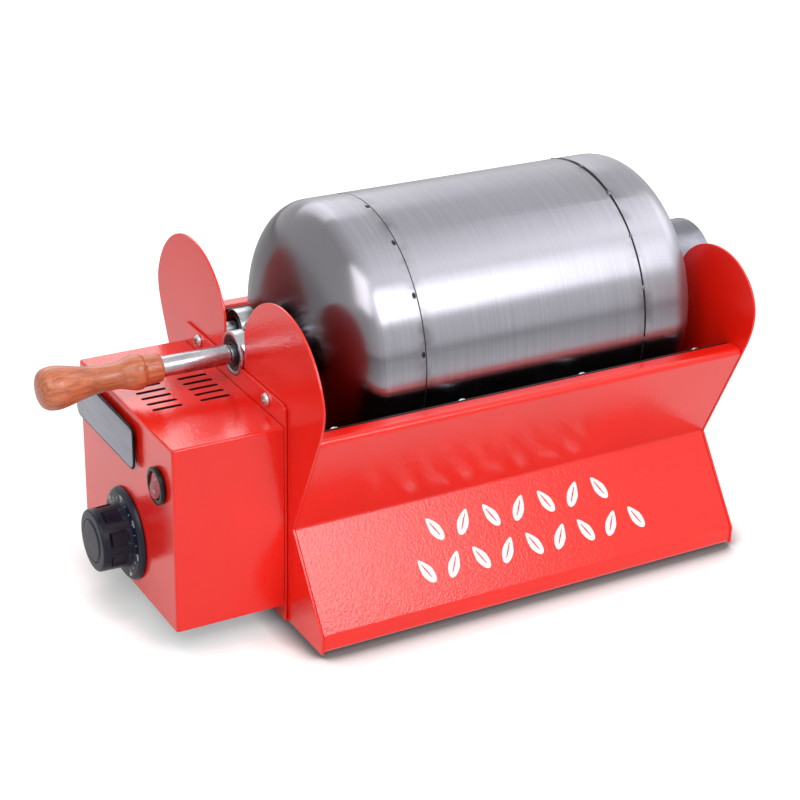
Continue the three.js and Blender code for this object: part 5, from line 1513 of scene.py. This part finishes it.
class ROASTER_OT_drum(bpy.types.Operator):
    """Makes the spun domes, the shell with its flights and seams, the tack welds and the neck"""

    bl_idname = "roaster.drum"
    bl_label = "Drum"

    def execute(self, context):
        sizes = context.scene.roaster_sizes
        groove = sizes.seam_groove / MM / 2
        slight = groove * 0.5
        home = shift(on_axis(0))
        rear = dome(DRUM_START, REAR_SEAM - FIT / 2, REAR_KNUCKLE, HUB_BORE, slight)
        front = dome(DRUM_END, FRONT_SEAM + FIT / 2, FRONT_KNUCKLE, NECK_RADIUS + FIT, groove)
        gape(front, FRONT_SEAM + FIT / 2, groove)
        front = shaded_seam_groove(painted(front, finishes["drum"]), FRONT_SEAM)
        for name, part in (("rear_dome", painted(rear, finishes["drum"])), ("front_dome", front)):
            finished(name + "_sheet", moved(part, home), "drum", [name])
        start, end = REAR_SEAM + FIT / 2, FRONT_SEAM - FIT / 2
        shell = turned([
            (start, DRUM_RADIUS - DRUM_WALL), (start, DRUM_RADIUS - slight), (start + slight, DRUM_RADIUS),
            (end - groove, DRUM_RADIUS), (end, DRUM_RADIUS - groove), (end, DRUM_RADIUS - DRUM_WALL),
        ], DRUM_STEPS)
        gape(shell, end, groove)
        blade = flight(REAR_SEAM + FLIGHT_MARGIN, FRONT_SEAM - FLIGHT_MARGIN)
        blades = repeated("ring", blade, finishes["drum"], Count=FLIGHTS, Start=0.0, Step=FULL_TURN / FLIGHTS)
        shell = shaded_seam_groove(painted(shell, finishes["drum"]), end)
        body = joined(shell, painted(blades, finishes["drum"]))
        finished("drum_sheet", moved(body, home), "drum", ["drum_shell"])
        # The gap of each seam holds a dark band of painted shade, so it reads as a dark line
        for name, seam, depth in (("rear", REAR_SEAM, slight), ("front", FRONT_SEAM, groove)):
            top, foot = DRUM_RADIUS - depth * 0.7, DRUM_RADIUS - DRUM_WALL + 0.1
            left, right = seam - depth, seam + depth
            band = turned([(left, top), (right, top), (right, foot), (left, foot)], DRUM_STEPS)
            band = painted(moved(band, home), finishes["groove"])
            finished("seam_gap_shade_" + name, band, "drum")
        weld = tack(sizes.tack_radius / MM, TACK_PROUD)
        tacks = repeated("ring", weld, finishes["weld"], Count=sizes.tack_count, Start=TACK_START,
                         Step=FULL_TURN / max(sizes.tack_count, 1))
        finished("seam_tacks", moved(tacks, shift(on_axis(FRONT_SEAM))), "drum")
        # Burnt pits of the spot welds that hold the shell to the rear dome
        pits = repeated("ring", tack(PIT_RADIUS, PIT_PROUD), finishes["groove"], Count=PIT_COUNT,
                        Start=PIT_START, Step=FULL_TURN / PIT_COUNT)
        finished("seam_pits", moved(pits, shift(on_axis(REAR_SEAM - PIT_RADIUS))), "drum")
        inner = NECK_RADIUS - NECK_WALL
        neck = turned(softened([(NECK_START, inner), (NECK_START, NECK_RADIUS), (NECK_END, NECK_RADIUS),
                                (NECK_END, inner)], 0.7, 4), 128)
        neck = painted(moved(neck, home), finishes["neck"])
        finished("neck_tube", neck, "drum", ["drum_neck"])
        backing = painted(respun("hub_backing", 96), finishes["neck"])
        finished("hub_backing_disc", backing, "drum", ["hub_backing"])
        return {"FINISHED"}


class ROASTER_OT_handle(bpy.types.Operator):
    """Makes the rod and the turned wooden grip"""

    bl_idname = "roaster.handle"
    bl_label = "Handle"

    def execute(self, context):
        home = shift(on_axis(0))
        points = [Vector((GRIP_START - along * GRIP_LENGTH, radius * GRIP_RADIUS))
                  for along, radius in GRIP_SHARES]
        profile = []
        for k in range(len(points) - 1):
            a, b, c, d = (points[min(max(k + n, 0), len(points) - 1)] for n in (-1, 0, 1, 2))
            for i in range(GRIP_FINENESS):
                t = i / GRIP_FINENESS
                place = (b * 2 + (c - a) * t + (a * 2 - b * 5 + c * 4 - d) * t ** 2
                         + (b * 3 - a - c * 3 + d) * t ** 3) / 2
                profile.append((place.x, max(place.y, 0.05)))
        profile.append((points[-1].x, 0))
        bore_end = GRIP_START - GRIP_BORE_DEPTH
        grip = turned([(bore_end, 0), (bore_end, GRIP_BORE), (GRIP_START, GRIP_BORE)] + profile, 112)
        finished("turned_grip", painted(moved(grip, home), finishes["wood"]), "grip", ["wood_grip"])
        rod = painted(respun("handle_rod", 80, 0.4), finishes["rod"])
        finished("turned_rod", rod, "drum", ["handle_rod"])
        return {"FINISHED"}


BEARING_RIM = 10.7
# Start after the end plate's outer face, radius, shield radius, bore radius and shield depth
GUIDE_ROLLER = (13.2, 11.8, 11.1, 6.8, 0.3)

TURNED_NODES = (
    # node, body, slot, finish, edge
    ("bearing_outer_ring", "drum_carrier", "bright_steel", "ring", 0.25),
    ("bearing_inner_ring", "drum", "bright_steel", "ring", 0.2),
    ("drum_shaft", "drum", "bright_steel", "rod", 0.3),
    ("drum_hub", "drum", "bright_steel", "rod", 0.4),
    ("shaft_bush", "stand", "bronze", "bronze", 0.2),
    ("guide_stud_front", "stand", "bright_steel", "plated", 0.2),
    ("guide_stud_back", "stand", "bright_steel", "plated", 0.2),
    ("neck_roller_front", "neck_wheel_front", "bright_steel", "ring", 0.3),
    ("neck_roller_back", "neck_wheel_back", "bright_steel", "ring", 0.3),
)


class ROASTER_OT_turned_parts(bpy.types.Operator):
    """Turns the bearing rings, shaft, hub, bush, studs and rollers again in fine steps"""

    bl_idname = "roaster.turned_parts"
    bl_label = "Turned Parts"

    def execute(self, context):
        for node, body, slot, look, edge in TURNED_NODES:
            mesh = painted(respun(node, 96, edge), finishes[look])
            if node.startswith("bearing"):
                blacken_middle(mesh, centre_of(node), BEARING_RIM)
            finished("turned_" + node, mesh, body, [node])
        start, radius, rim, bore, dish = GUIDE_ROLLER
        for side in ("front", "back"):
            node = "guide_roller_" + side
            first, last, middle = LEFT_FACE + start, corners_of(node)[1].x, centre_of(node)
            profile = [(first + dish, bore), (first + dish, rim), (first, rim), (first, radius),
                       (last, radius), (last, rim), (last - dish, rim), (last - dish, bore)]
            roller = painted(turned(softened(profile, 0.4), 96, (0, middle.y, middle.z)), finishes["ring"])
            blacken_middle(roller, middle, rim + 0.05)
            finished("turned_" + node, roller, "guide_wheel_" + side, [node])
        return {"FINISHED"}


def blacken_middle(mesh, centre, rim):
    """Gives a bearing's shield and inner faces an oil-black finish; the outer rim stays bright."""
    mesh.materials.append(finishes["dark"])
    for face in mesh.polygons:
        middle = face.center
        if math.hypot(middle.y - centre.y, middle.z - centre.z) < rim:
            face.material_index = 1


CAD_FINISHES = {
    "sheet": ("base_plate", "box_floor", "element_bracket_left", "element_bracket_right", "gearmotor"),
    "tube": ("heating_element_front", "heating_element_back"),
    "plated": ("neck_stud_front", "neck_stud_back", "neck_stud_nut_front", "neck_stud_nut_back",
               "motor_screw_front", "motor_screw_back"),
    "rod": ("motor_shaft", "knob_spindle", "ball_cage"),
    "dark": ("drive_pinion", "hub_gear"),
    "plastic": ("thermostat", "gland_nut"),
    "ceramic": ("terminal_block",),
}


class ROASTER_OT_cad_finishes(bpy.types.Operator):
    """Gives each CAD node that stays its real finish"""

    bl_idname = "roaster.cad_finishes"
    bl_label = "Plain Parts"

    def execute(self, context):
        for look, nodes in CAD_FINISHES.items():
            for node in nodes:
                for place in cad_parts[node].material_slots:
                    place.material = finishes[look]
        return {"FINISHED"}


GRAIN_ROWS = (
    # first place along X, share of the way up the panel, count, pitch, grain length
    (86, 0.7, 7, 19, 16),
    (74, 0.34, 9, 18.2, 16),
)


def grain(length):
    """A grain kernel as a thin print: an almond outline with a crease, in the (X, Y) plane."""
    width = length * 0.46
    rim = []
    for tipward, sideways in circle(0, 0, 1, 24):
        taper = 1 - 0.45 * max(tipward, 0)
        rim.append((width / 2 * sideways * taper, length / 2 * tipward))
    crease = [(0.28, -length * 0.3), (0.5, 0), (0.28, length * 0.3), (-0.28, length * 0.3), (-0.5, 0),
              (-0.28, -length * 0.3)]
    return moved(drawn([rim, crease], 0, INK_THICK, 0.005, 0), YZ_TO_XY)


class ROASTER_OT_print(bpy.types.Operator):
    """Prints two rows of plain grain marks on the lower front panel"""

    bl_idname = "roaster.grain_print"
    bl_label = "Printed Grains"

    def execute(self, context):
        low = at(0, -BASE_HALF, STRIP_HEIGHT)
        high = at(0, -WAIST[0], WAIST[1])
        way = (high - low).normalized()
        normal = Vector((0, -way.z, way.y))
        frame_of_face = Matrix((
            (1, way.x, normal.x, 0), (0, way.y, normal.y, 0), (0, way.z, normal.z, 0), (0, 0, 0, 1)))
        parts = []
        for first, share, count, pitch, length in GRAIN_ROWS:
            for k, lean in enumerate((0.5, -0.5)):
                mark = moved(grain(length), turn(lean, "Z"))
                copies = repeated("row", mark, finishes["ink"], Count=(count + 1 - k) // 2, Pitch=2 * pitch)
                place = low.lerp(high, share) + Vector((first + k * pitch, 0, 0))
                parts.append(moved(copies, frame_of_face, shift(place + normal * 0.01)))
        finished("printed_grains", joined(*parts), "stand")
        return {"FINISHED"}


# Camera, light and floor

# Place in millimetres; heading, pitch and roll in degrees; focal length in millimetres
CAMERA_PLACE = (-539.3, -960.0, 605.8)
CAMERA_TURN = (-29.77, 90 - 24.98, 1.36)
CAMERA_LENS = 90.73
FLOOR_LIFT = 0.48
MIRROR_LIFT = 0.06
CONTACT_REACH = 0.032
# How open the air is where the contact shadow is full and where it ends, and what is left of the paper there:
# under the box, and under the body
CONTACT_RANGE = (0.58, 0.98)
CONTACT_SHADES = (0.66, 0.12)
BOX_SHADOW_REACH = 15
PAPER_WHITE = 0.78
# Distances from the middle at which the mirrored paper starts and ends to fade, in metres, and its last share
PAPER_FADE = (0.3, 0.7, 0.6)
LAMP_TARGET = (0, 0, 0.11)
LAMPS = (
    # name, place and side of the square in metres, power setting, share of that power
    ("key", (-1.1, -1.0, 1.7), 1.3, "key_power", 1.0),
    ("fill", (1.9, -0.3, 1.5), 1.4, "fill_power", 1.0),
    ("rim", (0.2, 1.8, 1.5), 1.4, "fill_power", 0.7),
    ("glint", (0.33, -1.16, 1.01), 0.5, "glint_power", 1.0),
    ("halo", (0.37, -1.12, 1.03), 0.72, "glint_power", 1.5),
)


class ROASTER_OT_stage(bpy.types.Operator):
    """Sets the camera, the soft lamps, the white floor and the white surroundings"""

    bl_idname = "roaster.stage"
    bl_label = "Stage"

    def execute(self, context):
        settings = context.scene.roaster_stage
        camera = bpy.data.cameras.new("camera")
        camera.lens = CAMERA_LENS
        camera.clip_end = 50
        item = on_bench(camera, "camera")
        heading, pitch, roll = (math.radians(angle) for angle in CAMERA_TURN)
        item.matrix_world = (shift(Vector(CAMERA_PLACE) * MM) @ turn(heading, "Z") @ turn(pitch, "X")
                             @ turn(roll, "Z"))
        context.scene.camera = item
        context.scene.view_settings.view_transform = "Standard"
        for name, place, size, power, share in LAMPS:
            lamp = bpy.data.lights.new(name, "AREA")
            lamp.shape = "SQUARE"
            lamp.size = size
            lamp.energy = getattr(settings, power) * share
            holder = on_bench(lamp, name)
            holder.location = place
            holder.rotation_euler = (Vector(LAMP_TARGET) - Vector(place)).to_track_quat("-Z", "Y").to_euler()
        white_world(context.scene, settings.world_level)
        floor_stage(settings.floor_half)
        return {"FINISHED"}


def white_world(scene, level):
    """White surroundings: full white to the camera, mirrors and glass, and a softer light to the rest."""
    world = bpy.data.worlds.new("white_room")
    scene.world = world
    world.use_nodes = True
    tree = world.node_tree
    tree.nodes.clear()
    path = put(tree, "ShaderNodeLightPath").outputs
    straight = put(tree, MATH, {0: path["Is Camera Ray"], 1: path["Is Glossy Ray"]}, 0, operation="MAXIMUM")
    direct = put(tree, MATH, {0: straight, 1: path["Is Transmission Ray"]}, 0, operation="MAXIMUM")
    lit = put(tree, "ShaderNodeBackground", {"Color": WHITE, "Strength": level}, 0)
    seen = put(tree, "ShaderNodeBackground", {"Color": WHITE, "Strength": 1.0}, 0)
    both = put(tree, "ShaderNodeMixShader", {0: direct, 1: lit, 2: seen}, 0)
    put(tree, "ShaderNodeOutputWorld", {"Surface": both})


def floor_stage(half):
    """A flat white floor: its own white shows to the camera, and only the object's shadow darkens it."""
    mesh = bpy.data.meshes.new("floor")
    corners = [(-half, -half, 0), (half, -half, 0), (half, half, 0), (-half, half, 0)]
    mesh.from_pydata(corners, [], [(0, 1, 2, 3)])
    floor = on_bench(mesh, "floor")
    material = bpy.data.materials.new("white_paper")
    material.use_nodes = True
    tree = material.node_tree
    tree.nodes.clear()
    point = put(tree, "ShaderNodeTexCoord", out="Object")
    path = put(tree, "ShaderNodeLightPath").outputs
    # Close under the object the paper gets no light at all, as its contact shadow shows
    near = put(tree, "ShaderNodeAmbientOcclusion", {"Distance": CONTACT_REACH}, "AO", samples=16)
    # The control box hangs clear of the paper, so the shadow under it is weaker
    along = put(tree, SPLIT, {0: point}, "X")
    under_box, under_body = CONTACT_SHADES
    darkest = put(tree, RANGE, {
        "Value": along, "From Min": (LEFT_FACE - BOX_SHADOW_REACH) * MM, "From Max": LEFT_FACE * MM,
        "To Min": under_box, "To Max": under_body}, "Result")
    full, ended = CONTACT_RANGE
    shaded = put(tree, RANGE, {"Value": near, "From Min": full, "From Max": ended, "To Min": darkest,
                               "To Max": 1.0}, "Result")
    unseen = put(tree, MATH, {0: 1.0, 1: path["Is Camera Ray"]}, 0, operation="SUBTRACT")
    open_air = put(tree, MATH, {0: shaded, 1: unseen}, 0, operation="MAXIMUM")
    # Metal and paint mirror a paper that gets darker away from the object, as the sweep in the photo does
    # This fade is painted shade on the paper that mirrors see
    away = put(tree, VECTOR, {0: point}, "Value", operation="LENGTH")
    first, last, dimmest = PAPER_FADE
    fade = put(tree, RANGE, {"Value": away, "From Min": first, "From Max": last, "To Min": 1.0,
                             "To Max": dimmest}, "Result")
    kept = put(tree, MATH, {0: fade, 1: path["Is Camera Ray"]}, 0, operation="MAXIMUM")
    paper = put(tree, MATH, {0: kept, 1: PAPER_WHITE}, 0, operation="MULTIPLY")
    tone = put(tree, MIX, {0: open_air, 6: (0.05, 0.05, 0.05, 1), 7: paper}, 2, data_type="RGBA")
    matt = put(tree, "ShaderNodeBsdfDiffuse", {"Color": tone}, 0)
    # The glow lifts the open floor to white where it is seen, and adds a little of it to what mirrors show
    mirrored = put(tree, MATH, {0: path["Is Glossy Ray"], 1: path["Is Transmission Ray"]}, 0,
                   operation="MAXIMUM")
    faint = put(tree, MATH, {0: mirrored, 1: MIRROR_LIFT}, 0, operation="MULTIPLY")
    lift = put(tree, MATH, {0: path["Is Camera Ray"], 1: FLOOR_LIFT, 2: faint}, 0, operation="MULTIPLY_ADD")
    strength = put(tree, MATH, {0: lift, 1: open_air}, 0, operation="MULTIPLY")
    glow = put(tree, "ShaderNodeEmission", {"Color": WHITE, "Strength": strength}, 0)
    both = put(tree, "ShaderNodeAddShader", {0: matt, 1: glow}, 0)
    put(tree, "ShaderNodeOutputMaterial", {"Surface": both})
    mesh.materials.append(material)


STEPS = (
    "end_plates", "panels", "trough", "feet", "box", "knob", "switch", "badge", "gland", "drum", "handle",
    "turned_parts", "cad_finishes", "grain_print", "stage",
)


class ROASTER_PT_panel(bpy.types.Panel):
    """Lists the roaster's settings and build steps"""

    bl_idname = "ROASTER_PT_panel"
    bl_label = "Drum Roaster"
    bl_space_type = "VIEW_3D"
    bl_region_type = "UI"
    bl_category = "Roaster"

    def draw(self, context):
        scene = context.scene
        for group in (scene.roaster_colours, scene.roaster_sizes, scene.roaster_stage):
            box = self.layout.box()
            for name in group.__annotations__:
                box.prop(group, name)
        for step in STEPS:
            self.layout.operator("roaster." + step)


GROUPS = {
    "roaster_colours": RoasterColours,
    "roaster_sizes": RoasterSizes,
    "roaster_stage": RoasterStage,
}
CLASSES = (
    *GROUPS.values(),
    ROASTER_OT_end_plates, ROASTER_OT_panels, ROASTER_OT_trough, ROASTER_OT_feet, ROASTER_OT_box,
    ROASTER_OT_knob, ROASTER_OT_switch, ROASTER_OT_badge, ROASTER_OT_gland, ROASTER_OT_drum,
    ROASTER_OT_handle, ROASTER_OT_turned_parts, ROASTER_OT_cad_finishes, ROASTER_OT_print,
    ROASTER_OT_stage, ROASTER_PT_panel,
)


def register():
    for cls in CLASSES:
        bpy.utils.register_class(cls)
    for name, group in GROUPS.items():
        setattr(bpy.types.Scene, name, bpy.props.PointerProperty(type=group))


def unregister():
    for name in GROUPS:
        delattr(bpy.types.Scene, name)
    for cls in reversed(CLASSES):
        bpy.utils.unregister_class(cls)


def main():
    """Builds the whole scene."""
    register()
    make_finishes(bpy.context.scene.roaster_colours)
    for step in STEPS:
        getattr(bpy.ops.roaster, step)()


if __name__ == "__main__":
    main()
